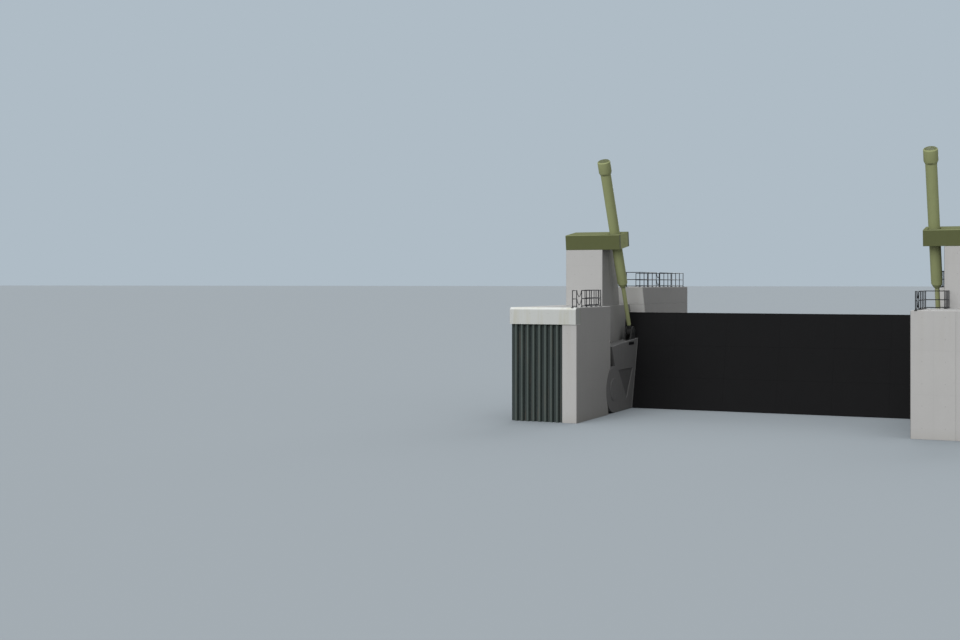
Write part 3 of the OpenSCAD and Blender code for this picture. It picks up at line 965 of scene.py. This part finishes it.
@dataclass(frozen=True)
class Viewpoint:
    """Where the photographer stood, and which way the camera looked."""

    stand: Place = (18.7, -91.5, 8.8)
    bearing: float = 24.2
    lens_mm: float = 50.0
    sensor_mm: float = 36.0
    horizon_px: float = 283.0
    far: float = 9000.0

    def build(self) -> None:
        """Sets up the camera."""
        data = bpy.data.cameras.new("viewpoint")
        data.lens = self.lens_mm
        data.sensor_width = self.sensor_mm
        data.shift_y = (self.horizon_px - PHOTO_HEIGHT / 2) / PHOTO_WIDTH
        data.clip_end = self.far
        camera = bpy.data.objects.new("viewpoint", data)
        camera.location = self.stand
        camera.rotation_euler = (QUARTER, 0, math.radians(self.bearing))
        bpy.context.scene.collection.objects.link(camera)
        bpy.context.scene.camera = camera


@dataclass(frozen=True)
class Lamp:
    """A soft lamp far away, like a large studio panel."""

    name: str
    towards: Place
    strength: float
    spread: float

    def build(self) -> None:
        """Hangs the lamp."""
        data = bpy.data.lights.new(self.name, "SUN")
        data.energy = self.strength * math.pi
        data.angle = math.radians(self.spread)
        lamp = bpy.data.objects.new(self.name, data)
        lamp.rotation_euler = Vector(self.towards).to_track_quat("Z", "Y").to_euler()
        bpy.context.scene.collection.objects.link(lamp)


@dataclass(frozen=True)
class Studio:
    """A plain pale floor, a pale background and soft light."""

    lamps: tuple[Lamp, ...] = (
        Lamp("key_panel", (-0.1, -0.72, 0.288), 0.62, 40.0),
        Lamp("top_panel", (0.0, 0.0, 1.0), 0.28, 60.0),
        Lamp("back_panel", (0.0, 0.50, 0.22), 0.38, 40.0),
    )
    fill: float = 0.55
    floor_reach: float = 7000.0
    floor_cuts: int = 3
    floor_z: float = -0.004
    floor_colour: Rgb = (150, 158, 164)
    floor_bounce: float = 0.22
    backdrop: Rgb = (175, 188, 198)

    def build(self) -> None:
        """Sets up lamps, floor and world."""
        for lamp in self.lamps:
            lamp.build()
        self.lay_floor()
        self.paint_world()
        bpy.context.scene.view_settings.view_transform = "Standard"

    @staticmethod
    def split(graph: Graph, lit: Value, seen: Value) -> Value:
        """Gives the light one shader, and the camera and reflections another.

        Args:
            graph: The nodes that both shaders are in.
            lit: What other rays meet.
            seen: What is seen.

        Returns:
            Both as one shader.
        """
        direct = graph.value("ShaderNodeLightPath", {}, "Is Camera Ray")
        mirrored = graph.value("ShaderNodeLightPath", {}, "Is Glossy Ray")
        return graph.value("ShaderNodeMixShader", {0: (direct + mirrored).clamp(), 1: lit, 2: seen})

    def lay_floor(self) -> None:
        """Lays the floor, which looks pale but throws little light back up."""
        Bench.clear()
        bpy.ops.mesh.primitive_plane_add(size=self.floor_reach, location=(0, 0, self.floor_z))
        floor = Bench(bpy.context.object, "studio_floor")
        floor.edit(Pick.FACES, None, partial(bpy.ops.mesh.subdivide, number_cuts=self.floor_cuts))
        floor.settle()
        paint = bpy.data.materials.new("studio_floor")
        graph = Graph(paint)
        dim = graph.value("ShaderNodeBsdfDiffuse", {"Color": (self.floor_bounce,) * 3 + (1.0,)})
        pale = graph.value("ShaderNodeBsdfDiffuse", {"Color": linear(self.floor_colour)})
        graph.show(self.split(graph, dim, pale))
        floor.thing.data.materials.append(paint)

    def paint_world(self) -> None:
        """Gives the world its soft fill light and its pale look."""
        world = bpy.data.worlds.new("studio")
        bpy.context.scene.world = world
        graph = Graph(world)
        white = (1.0, 1.0, 1.0, 1.0)
        fill = graph.value("ShaderNodeBackground", {"Color": white, "Strength": self.fill})
        pale = graph.value("ShaderNodeBackground", {"Color": linear(self.backdrop)})
        graph.show(self.split(graph, fill, pale))


NODE_FINISHES: dict[str, tuple[Finish, str]] = {
    "pier_nose": (CONCRETE, "concrete"),
    "pier_wall": (CONCRETE, "concrete"),
    "pier_tail": (CONCRETE, "concrete"),
    "tower": (CONCRETE, "concrete"),
    "nose_capping": (CAPPING, "white_concrete"),
    "sheet_piles": (PILE_STEEL, "pile_steel"),
    "cradle_beams": (BEAM_PAINT, "olive_paint"),
    "cradle_plates": (PLATE_LIT_PAINT, "olive_paint"),
    "pivot_bearing": (ARM_PAINT, "arm_paint"),
    "railing": (RAIL_PAINT, "railing_steel"),
    "skin_plate": (GATE_PAINT, "gate_paint"),
    "girders": (GATE_PAINT, "gate_paint"),
    "ribs": (GATE_PAINT, "gate_paint"),
    "crest_box": (GATE_PAINT, "gate_paint"),
    "side_seals": (SEAL_RUBBER, "seal_rubber"),
    "arm": (ARM_PAINT, "arm_paint"),
    "lugs": (LUG_SHADE_PAINT, "arm_paint"),
    "barrel": (CYLINDER_PAINT, "cylinder_paint"),
    "cap": (CAP_PAINT, "cylinder_paint"),
    "trunnion_ring": (CYLINDER_PAINT, "cylinder_paint"),
    "rod": (ROD_LIT_PAINT, "cylinder_paint"),
    # The rod eye has the lugs' painted shade
    "rod_eye": (LUG_SHADE_PAINT, "arm_paint"),
}


def finish_of(node: str) -> tuple[Finish, str]:
    """The finish and slot of one of the model's own solids, by the last words of its name."""
    keys = [key for key in NODE_FINISHES if node.endswith(key)]
    return NODE_FINISHES[max(keys, key=len)]


def dress_nodes() -> None:
    """Gives every solid of the model its finish."""
    for name, thing in frame["nodes"].items():
        thing.data.materials.clear()
        thing.data.materials.append(finish_of(name)[0].material())


def edged(node: str, width: float, body: str, degrees: float = ROUND_SHADE) -> None:
    """Stands a copy with softened corners in for one of the model's solids.

    Args:
        node: The solid's node.
        width: Width of the softened corners.
        body: The body that it moves with.
        degrees: Edges flatter than this are shaded smoothly.
    """
    finish, slot = finish_of(node)
    piece = Bench.copied(node + "_edged", node).chamfer(width).smooth(degrees)
    piece.fit(body, finish, slot, replaces=[node])


@dataclass
class Masonry:
    """The cast concrete of one side, with chamfered corners and open joints."""

    side: Side
    chamfer: float = 0.03
    joint_width: float = 0.03
    joint_depth: float = 0.02
    tail_joint_share: float = 0.48
    corner_width: float = 0.2
    corner_flats: int = 4
    corner_gap: float = 0.002
    corner_run: float = 1.0
    split_share: float = 0.54

    def build(self) -> None:
        """Casts the pieces and opens their joints."""
        pieces = {node: self.cast(node) for node in ("pier_nose", "pier_wall", "pier_tail", "tower")}
        deck = self.side.box("pier_nose")[1].z
        low, high = self.side.box("pier_tail")
        tail_joint = low.y + (high.y - low.y) * self.tail_joint_share
        pieces["pier_tail"].groove((0, 0, 1), deck, self.joint_width, self.joint_depth)
        pieces["pier_tail"].groove((0, 1, 0), tail_joint, self.joint_width, self.joint_depth)
        if self.side is Side.RIGHT:
            self.round_corner(pieces["pier_nose"], deck)
            for node in ("pier_nose", "tower"):
                low, high = self.side.box(node)
                split = low.x + (high.x - low.x) * self.split_share
                pieces[node].groove((1, 0, 0), split, self.joint_width, self.joint_depth)
        for node, piece in pieces.items():
            piece.fit("piers", CONCRETE, "concrete", replaces=[f"{self.side}_{node}"])

    def cast(self, node: str) -> Bench:
        """Copies one solid and chamfers its corners."""
        return Bench.copied(f"{self.side}_{node}_cast", f"{self.side}_{node}").chamfer(self.chamfer)

    def round_corner(self, nose: Bench, deck: float) -> None:
        """Rounds the nose's top corner along the waterway.

        Args:
            nose: The nose.
            deck: Height of its deck.
        """
        face = self.side.face("pier_nose")

        def on_corner(edge: bmesh.types.BMEdge) -> bool:
            """Finds the corner.

            Args:
                edge: An edge of the nose.

            Returns:
                Whether it is long and runs along the top corner beside the waterway.
            """
            near = all(abs(point.co.x - face) < self.corner_gap for point in edge.verts)
            high = all(point.co.z > deck - 2 * self.chamfer for point in edge.verts)
            run = edge.verts[0].co - edge.verts[1].co
            return near and high and abs(run.y) > self.corner_run

        nose.chamfer(self.corner_width, self.corner_flats, on_corner)


@dataclass
class NoseEdge:
    """The end of the capping beam and the sheet piles under it, on the left nose."""

    chamfer: float = 0.025
    lip: float = 0.13
    pile_pitch: float = 0.4
    clutch_radius: float = 0.02
    clutch_chamfer: float = 0.006

    def build(self) -> None:
        """Builds the capping's end and the clutches that lock the piles."""
        capping = Bench.copied("left_nose_capping_cast", "left_nose_capping")
        capping.chamfer(self.lip, test=self.on_lip).chamfer(self.chamfer)
        capping.fit("piers", CAPPING, "white_concrete", replaces=["left_nose_capping"])
        self.clutches().fit("piers", PILE_STEEL, "pile_steel")

    @staticmethod
    def on_lip(edge: bmesh.types.BMEdge) -> bool:
        """Finds the capping's lip.

        Args:
            edge: An edge of the capping.

        Returns:
            Whether it is the top front one.
        """
        low, high = Side.LEFT.box("nose_capping")
        return all(point.co.y < low.y + MERGE_GAP and point.co.z > high.z - MERGE_GAP
                   for point in edge.verts)

    def clutches(self) -> Bench:
        """Models the round clutches up the middle of each back flat of the piles.

        Returns:
            The clutches.
        """
        low, high = Side.LEFT.box("sheet_piles")
        count = math.floor((high.x - low.x) / self.pile_pitch)
        start = (low.x + high.x - (count - 1) * self.pile_pitch) / 2
        y = high.y - self.clutch_radius
        clutch = Bench.bar("clutch", (0, y, low.z), (0, y, high.z), self.clutch_radius, sides=10)
        clutch.chamfer(self.clutch_chamfer)
        places = [Matrix.Translation((start + i * self.pile_pitch, 0, 0)) for i in range(count)]
        return clutch.repeat("left_pile_clutches", places)


@dataclass
class Leaf:
    """The gate's leaf: skin, girders, ribs and crest, with weld seams and clamped seals."""

    edge: float = 0.008
    seam_width: float = 0.04
    seam_height: float = 0.006
    seam_chamfer: float = 0.0048
    plate_width: float = 3.68
    plate_height: float = 2.3
    clamp_width: float = 0.09
    clamp_thickness: float = 0.016
    clamp_chamfer: float = 0.004
    clamp_bolt: Bolt = Bolt(0.018, 0.014, 0.004)
    bolt_start: float = 0.135
    bolt_pitch: float = 0.35

    def build(self) -> None:
        """Builds the leaf's pieces."""
        for node in ("skin_plate", "girders", "ribs", "crest_box"):
            edged(node, self.edge, "gate")
        self.seams().fit("gate", GATE_PAINT, "gate_paint")
        self.clamps().fit("gate", GATE_PAINT, "gate_paint")

    def on_skin(self) -> Matrix:
        """Finds the skin's own frame.

        Returns:
            Where it lies, with X across, Z up the face from the water and -Y out of the face.
        """
        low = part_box("skin_plate")[0]
        foot = low.y - low.z * math.tan(LEAN)
        return Matrix.Translation((0, foot, 0)) @ Matrix.Rotation(-LEAN, 4, "X")

    def height(self) -> float:
        """Height of the skin up its face."""
        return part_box("skin_plate")[1].z / math.cos(LEAN)

    def seams(self) -> Bench:
        """Models the raised weld seams between the skin's plates.

        Returns:
            The seams.
        """
        low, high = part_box("skin_plate")
        top = self.height()
        foot = low.z / math.cos(LEAN)
        half = self.seam_width / 2
        beads = []
        count = round((high.x - low.x) / self.plate_width)
        for i in range(1, count):
            x = low.x + (high.x - low.x) * i / count
            beads.append(self.bead((x - half, foot), (x + half, top)))
        for i in range(1, math.ceil(top / self.plate_height)):
            up = i * self.plate_height
            beads.append(self.bead((low.x, up - half), (high.x, up + half)))
        return Bench.joined("skin_seams", beads).moved(self.on_skin())

    def bead(self, low: tuple[float, float], high: tuple[float, float]) -> Bench:
        """Models one flat weld on the skin's face.

        Args:
            low: Lowest place across and up the face.
            high: Highest place across and up the face.

        Returns:
            The weld, in the skin's own frame.
        """
        bead = Bench.block("bead", (low[0], -self.seam_height, low[1]),
                           (high[0], self.seam_height, high[1]))
        return bead.chamfer(self.seam_chamfer, test=lambda edge: all(p.co.y < 0 for p in edge.verts))

    def clamps(self) -> Bench:
        """Models the bolted bars that hold the seals on both ends of the leaf.

        Returns:
            The bars and their bolts.
        """
        top = self.height()
        count = math.floor((top - 2 * self.bolt_start) / self.bolt_pitch) + 1
        heights = [self.bolt_start + i * self.bolt_pitch for i in range(count)]
        turn = Matrix.Rotation(QUARTER, 4, "X")
        parts = []
        for side in Side:
            end = side.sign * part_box("skin_plate")[1].x
            inner = end - side.sign * self.clamp_width
            bar = Bench.block("clamp", (min(end, inner), -self.clamp_thickness, self.clamp_width),
                              (max(end, inner), 0.0, top - self.clamp_width))
            places = [Matrix.Translation(((end + inner) / 2, -self.clamp_thickness, height)) @ turn
                      for height in heights]
            parts.append(bar.chamfer(self.clamp_chamfer))
            parts.append(self.clamp_bolt.model().repeat("clamp_bolts", places))
        return Bench.joined("seal_clamps", parts).moved(self.on_skin())


@dataclass
class Arm:
    """One side's arm with its lug plates, pin covers, hatch and pivot bearing."""

    side: Side
    edge: float = 0.012
    boss_height: float = 0.03
    boss_bolt: Bolt = Bolt(0.03, 0.014, 0.005)
    boss_bolts: int = 16
    boss_bolt_circle: float = 0.6536
    eye_radius: float = 0.3
    cover_bolt: Bolt = Bolt(0.02, 0.014, 0.004)
    cover_bolts: int = 6
    cover_bolt_circle: float = 0.147
    strip_width: float = 0.16
    strip_thickness: float = 0.014
    strip_chamfer: float = 0.0056
    hatch_front: float = 0.94
    hatch_down: float = 0.79
    hatch_length: float = 1.15
    hatch_height: float = 0.2
    hatch_thickness: float = 0.012
    hatch_chamfer: float = 0.0036
    hatch_bolt: Bolt = Bolt(0.016, 0.01, 0.003)
    hatch_bolt_shares: tuple[float, ...] = (-0.45, -0.25, 0.25, 0.45)

    def build(self) -> None:
        """Builds the arm's pieces."""
        for node, body in (("arm", "gate"), ("lugs", "gate"), ("pivot_bearing", "piers")):
            edged(f"{self.side}_{node}", self.edge, body, FLAT_SHADE)
        self.boss_ring().fit("gate", ARM_PAINT, "arm_paint")
        self.cover_rings().fit("gate", LUG_SHADE_PAINT, "arm_paint")
        self.edge_strip().fit("gate", STRIP_PAINT, "arm_paint")
        # Painted shade: a black plate under the lugs
        self.hatch().fit("gate", GATE_PAINT, "gate_paint")

    def pin(self) -> tuple[float, float]:
        """Place of the rod pin along the flow and up."""
        low, high = self.side.box("rod_eye")
        return high.y - self.eye_radius, low.z + self.eye_radius

    def depth(self, proud: float) -> float:
        """Where what stands so proud of the arm's flat, towards the waterway, lies along X."""
        return self.side.face("arm") + self.side.sign * (self.boss_height - proud)

    def plate(self, name: str, low: tuple[float, float], high: tuple[float, float],
              thickness: float) -> Bench:
        """Models a plate on the arm's flat, on the side of the waterway.

        Args:
            name: The last words of its name.
            low: Lowest place along the flow and up.
            high: Highest place along the flow and up.
            thickness: How proud of the flat it stands.

        Returns:
            The plate.
        """
        near, far = sorted((self.depth(0.0), self.depth(thickness)))
        return Bench.block(f"{self.side}_{name}", (near, *low), (far, *high))

    def boss_ring(self) -> Bench:
        """Models the bolts round the boss, on the side of the waterway.

        Returns:
            The bolts.
        """
        _, y, z = joint("gate_swing")["pos_m"]
        place = Matrix.Translation((self.side.face("arm"), y, z)) @ self.side.inward()
        return self.boss_bolt.circle(f"{self.side}_boss_bolts", self.boss_bolts,
                                     self.boss_bolt_circle, place)

    def cover_rings(self) -> Bench:
        """Models the bolts round the rod pin's covers, on the outer faces of both lug plates.

        Returns:
            The bolts.
        """
        low, high = self.side.box("lugs")
        y, z = self.pin()
        rings = []
        for x, turn in ((low.x, -QUARTER), (high.x, QUARTER)):
            place = Matrix.Translation((x, y, z)) @ Matrix.Rotation(turn, 4, "Y")
            rings.append(self.cover_bolt.circle("cover_bolts", self.cover_bolts,
                                                self.cover_bolt_circle, place))
        return Bench.joined(f"{self.side}_cover_bolts", rings)

    def edge_strip(self) -> Bench:
        """Models the flat bar along the arm's edge beside the leaf, on the side of the waterway.

        Returns:
            The bar, which leans as the leaf does.
        """
        low, high = self.side.box("arm")
        far_y = high.y - self.edge
        strip = self.plate("edge_strip", (far_y - self.strip_width, low.z), (far_y, high.z - self.edge),
                           self.strip_thickness)
        slope = math.tan(LEAN)
        shear = Matrix(((1, 0, 0, 0), (0, 1, slope, -slope * high.z), (0, 0, 1, 0), (0, 0, 0, 1)))
        return strip.moved(shear).chamfer(self.strip_chamfer)

    def hatch(self) -> Bench:
        """Models the black plate over the hand hole under the lugs, on the side of the waterway; its
        black is painted shade, for the shade in the slot under the lugs.

        Returns:
            The plate with its bolts.
        """
        pin_y, pin_z = self.pin()
        y, z = pin_y - self.hatch_front, pin_z - self.hatch_down
        half_y, half_z = self.hatch_length / 2, self.hatch_height / 2
        plate = self.plate("hatch", (y - half_y, z - half_z), (y + half_y, z + half_z),
                           self.hatch_thickness)
        plate.chamfer(self.hatch_chamfer)
        face = self.depth(self.hatch_thickness)
        places = [Matrix.Translation((face, y + self.hatch_length * share, z)) @ self.side.inward()
                  for share in self.hatch_bolt_shares]
        return plate.join([self.hatch_bolt.model().repeat("hatch_bolts", places)])


@dataclass
class Cylinder:
    """One side's hydraulic cylinder: barrel, cap, trunnion ring, rod and rod eye."""

    side: Side
    edge: float = 0.01
    cap_top: float = 5.89
    cap_bolt: Bolt = Bolt(0.026, 0.02, 0.005, chamfer=0.00312)
    cap_bolts: int = 16
    cap_bolt_circle: float = 0.3045
    barrel_radius: float = 0.35
    bead_radius: float = 0.01
    bead_flats: tuple[int, int] = (96, 8)
    bead_squash: float = 0.8
    bead_shade: float = 60.0
    bead_places: tuple[float, ...] = (-2.9, -0.45, 0.45, 2.6)

    def build(self) -> None:
        """Builds the cylinder's pieces."""
        barrel_body = f"{self.side}_barrel_body"
        for part in ("barrel", "cap", "trunnion_ring"):
            edged(f"{self.side}_{part}", self.edge, barrel_body)
        for part in ("rod", "rod_eye"):
            edged(f"{self.side}_{part}", self.edge, f"{self.side}_rod_body")
        top = self.on_trunnion() @ Matrix.Translation((0, 0, self.cap_top))
        bolts = self.cap_bolt.circle(f"{self.side}_cap_bolts", self.cap_bolts, self.cap_bolt_circle, top)
        bolts.fit(barrel_body, CAP_PAINT, "cylinder_paint")
        self.beads().fit(barrel_body, CYLINDER_PAINT, "cylinder_paint")

    def on_trunnion(self) -> Matrix:
        """Finds the cylinder's own frame.

        Returns:
            Where it lies, with its middle at the trunnion and Z up towards the cap.
        """
        place = joint(f"{self.side}_cylinder_tilt")["pos_m"]
        down = Vector(joint(f"{self.side}_rod_slide")["axis"])
        return Matrix.Translation(place) @ Matrix.Rotation(math.atan2(down.y, -down.z), 4, "X")

    def beads(self) -> Bench:
        """Models the weld beads round the barrel.

        Returns:
            The beads.
        """
        squash = partial(bpy.ops.transform.resize, value=(1, 1, self.bead_squash))
        rings = []
        for place in self.bead_places:
            ring = Bench.ring("bead", self.barrel_radius, self.bead_radius, self.bead_flats, place)
            rings.append(ring.edit(Pick.POINTS, None, squash))
        beads = Bench.joined(f"{self.side}_barrel_beads", rings)
        return beads.moved(self.on_trunnion()).smooth(self.bead_shade)


@dataclass
class Cradle:
    """One side's welded beams and plates that carry the trunnions."""

    side: Side
    beam_edge: float = 0.012
    plate_edge: float = 0.0072
    keeper_radius: float = 0.19
    keeper_thickness: float = 0.012
    keeper_bolt: Bolt = Bolt(0.018, 0.012, 0.003)
    keeper_bolts: int = 6
    keeper_bolt_circle: float = 0.152

    def build(self) -> None:
        """Builds the cradle's pieces."""
        edged(f"{self.side}_cradle_beams", self.beam_edge, "piers")
        edged(f"{self.side}_cradle_plates", self.plate_edge, "piers", FLAT_SHADE)
        self.keeper().fit("piers", PLATE_LIT_PAINT, "olive_paint")

    def keeper(self) -> Bench:
        """Models the bolted cover over the trunnion pin's end, on the side of the waterway.

        Returns:
            The cover with its bolts.
        """
        _, y, z = joint(f"{self.side}_cylinder_tilt")["pos_m"]
        place = Matrix.Translation((self.side.face("cradle_plates"), y, z)) @ self.side.inward()
        cover = Bench.bar(f"{self.side}_trunnion_keeper", (0, 0, 0), (0, 0, self.keeper_thickness),
                          self.keeper_radius, sides=64)
        cover.smooth().moved(place)
        top = place @ Matrix.Translation((0, 0, self.keeper_thickness))
        bolts = self.keeper_bolt.circle("keeper_bolts", self.keeper_bolts, self.keeper_bolt_circle, top)
        return cover.join([bolts])


@dataclass(frozen=True)
class Run:
    """A straight stretch of railing, with its first post left out where another run ends there."""

    start: Place
    end: Place
    first: int = 0


@dataclass
class Railing:
    """A welded tube railing on a deck, with base plates and, in some, a gap closed by chains."""

    node: str
    height: float = 1.1
    pitch: float = 1.1
    tube: float = 0.028
    tube_chamfer: float = 0.0098
    rail: float = 0.027
    rail_chamfer: float = 0.0081
    shade: float = 50.0
    plate: float = 0.075
    plate_thickness: float = 0.012
    anchor: Bolt = Bolt(0.011, 0.012, 0.003)
    anchor_spread: float = 0.051
    chain_start: float | None = None
    chain_gap: float = 0.93
    chain_sag: float = 0.38
    chain_steps: int = 400
    link_length: float = 0.11
    link_width: float = 0.066
    link_flats: tuple[int, int] = (12, 6)
    link_middle: float = 0.001
    wire: float = 0.009

    def build(self) -> None:
        """Builds the railing and its chains."""
        runs = self.runs()
        parts = [self.posts(runs)]
        for run in runs:
            parts.extend(self.rails(run))
        railing = Bench.joined(self.node + "_tubes", parts).smooth(self.shade)
        railing.fit("piers", RAIL_PAINT, "railing_steel", replaces=[self.node])
        if self.chain_start is not None:
            self.chains(runs).fit("piers", RAIL_PAINT, "railing_steel")

    def runs(self) -> list[Run]:
        """Finds the railing's stretches from the box of the solid that it stands for.

        Returns:
            Its straight stretches.
        """
        low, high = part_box(self.node)
        near, far = sorted((low.x, high.x), key=abs)
        outer = far - math.copysign(self.tube, far)
        y0, y1, z = low.y + self.tube, high.y - self.tube, low.z
        if self.chain_start is not None:
            x = (low.x + high.x) / 2
            gap = y0 + self.chain_start
            return [Run((x, y0, z), (x, gap, z)), Run((x, gap + self.chain_gap, z), (x, y1, z))]
        runs = [Run((near, y0, z), (outer, y0, z), 1)]
        if self.node.endswith("pocket_railing"):
            runs.append(Run((outer, y0, z), (outer, y1, z), 1))
        return runs

    def posts(self, runs: Iterable[Run]) -> Bench:
        """Models the posts, each on a base plate with four anchor bolts.

        Args:
            runs: The railing's stretches.

        Returns:
            All posts.
        """
        places = []
        for run in runs:
            start, end = Vector(run.start), Vector(run.end)
            bays = math.ceil(round((end - start).length / self.pitch, 6))
            places += [Matrix.Translation(start.lerp(end, i / bays)) for i in range(run.first, bays + 1)]
        post = Bench.bar("post", (0, 0, 0), (0, 0, self.height), self.tube, sides=14)
        post.chamfer(self.tube_chamfer, 2)
        half, spread = self.plate, self.anchor_spread
        plate = Bench.block("plate", (-half, -half, 0), (half, half, self.plate_thickness))
        corners = [Matrix.Translation((x, y, self.plate_thickness))
                   for x in (-spread, spread) for y in (-spread, spread)]
        return post.join([plate, self.anchor.model().repeat("anchors", corners)]).repeat("posts", places)

    def rails(self, run: Run) -> list[Bench]:
        """Models the three rails of a stretch.

        Args:
            run: The stretch.

        Returns:
            Its rails.
        """
        bars = []
        for height in (3 * self.tube, self.height / 2, self.height - self.tube):
            up = Vector((0, 0, height))
            bar = Bench.bar("rail", Vector(run.start) + up, Vector(run.end) + up, self.rail, sides=12)
            bars.append(bar.chamfer(self.rail_chamfer))
        return bars

    def chains(self, runs: Sequence[Run]) -> Bench:
        """Models the two chains of oval links across the gap.

        Args:
            runs: The stretches before and after the gap.

        Returns:
            The chains.
        """
        start = Vector(runs[0].end) + Vector((0, self.tube, 0))
        end = Vector(runs[1].start) - Vector((0, self.tube, 0))
        places = []
        for height in (self.height / 2, self.height - self.tube):
            up = Vector((0, 0, height))
            places += self.hang(start + up, end + up)
        return self.link().repeat(self.node + "_chains", places)

    def hang(self, start: Vector, end: Vector) -> list[Matrix]:
        """Places links along a sagging line, each turned a quarter from the last.

        Args:
            start: Where the chain starts.
            end: Where it ends.

        Returns:
            The places of the links.
        """
        pitch = self.link_length - 4 * self.wire
        line = []
        for i in range(self.chain_steps + 1):
            share = i / self.chain_steps
            sag = self.chain_sag * (1 - (2 * share - 1) ** 2)
            line.append(start.lerp(end, share) - Vector((0, 0, sag)))
        places, walked, wanted = [], 0.0, pitch / 2
        for before, after in zip(line, line[1:]):
            walked += (after - before).length
            if walked >= wanted:
                turn = (after - before).to_track_quat("X", "Z").to_matrix().to_4x4()
                roll = Matrix.Rotation(QUARTER * (len(places) % 2), 4, "X")
                places.append(Matrix.Translation(after) @ turn @ roll)
                wanted += pitch
        return places

    def link(self) -> Bench:
        """Models one oval link, lying along X.

        Returns:
            The link.
        """
        link = Bench.ring("link", self.link_width / 2 - self.wire, self.wire, self.link_flats)
        stretch = (self.link_length - self.link_width) / 2
        for way in (-1.0, 1.0):
            link.edit(Pick.POINTS, lambda point, way=way: point.co.x * way > self.link_middle,
                      partial(bpy.ops.transform.translate, value=(way * stretch, 0, 0)))
        return link


def main() -> None:
    """Builds the scene in order."""
    logging.basicConfig(level=logging.INFO, format="%(message)s")
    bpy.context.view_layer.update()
    Viewpoint().build()
    Studio().build()
    dress_nodes()
    NoseEdge().build()
    Leaf().build()
    for side in Side:
        Masonry(side).build()
        Arm(side).build()
        Cylinder(side).build()
        Cradle(side).build()
        Railing(f"{side}_channel_railing", chain_start=0.77).build()
        Railing(f"{side}_tail_railing", chain_start=4.1).build()
        for where in ("pocket", "tail_front", "tail_end"):
            Railing(f"{side}_{where}_railing").build()


if __name__ == "__main__":
    main()
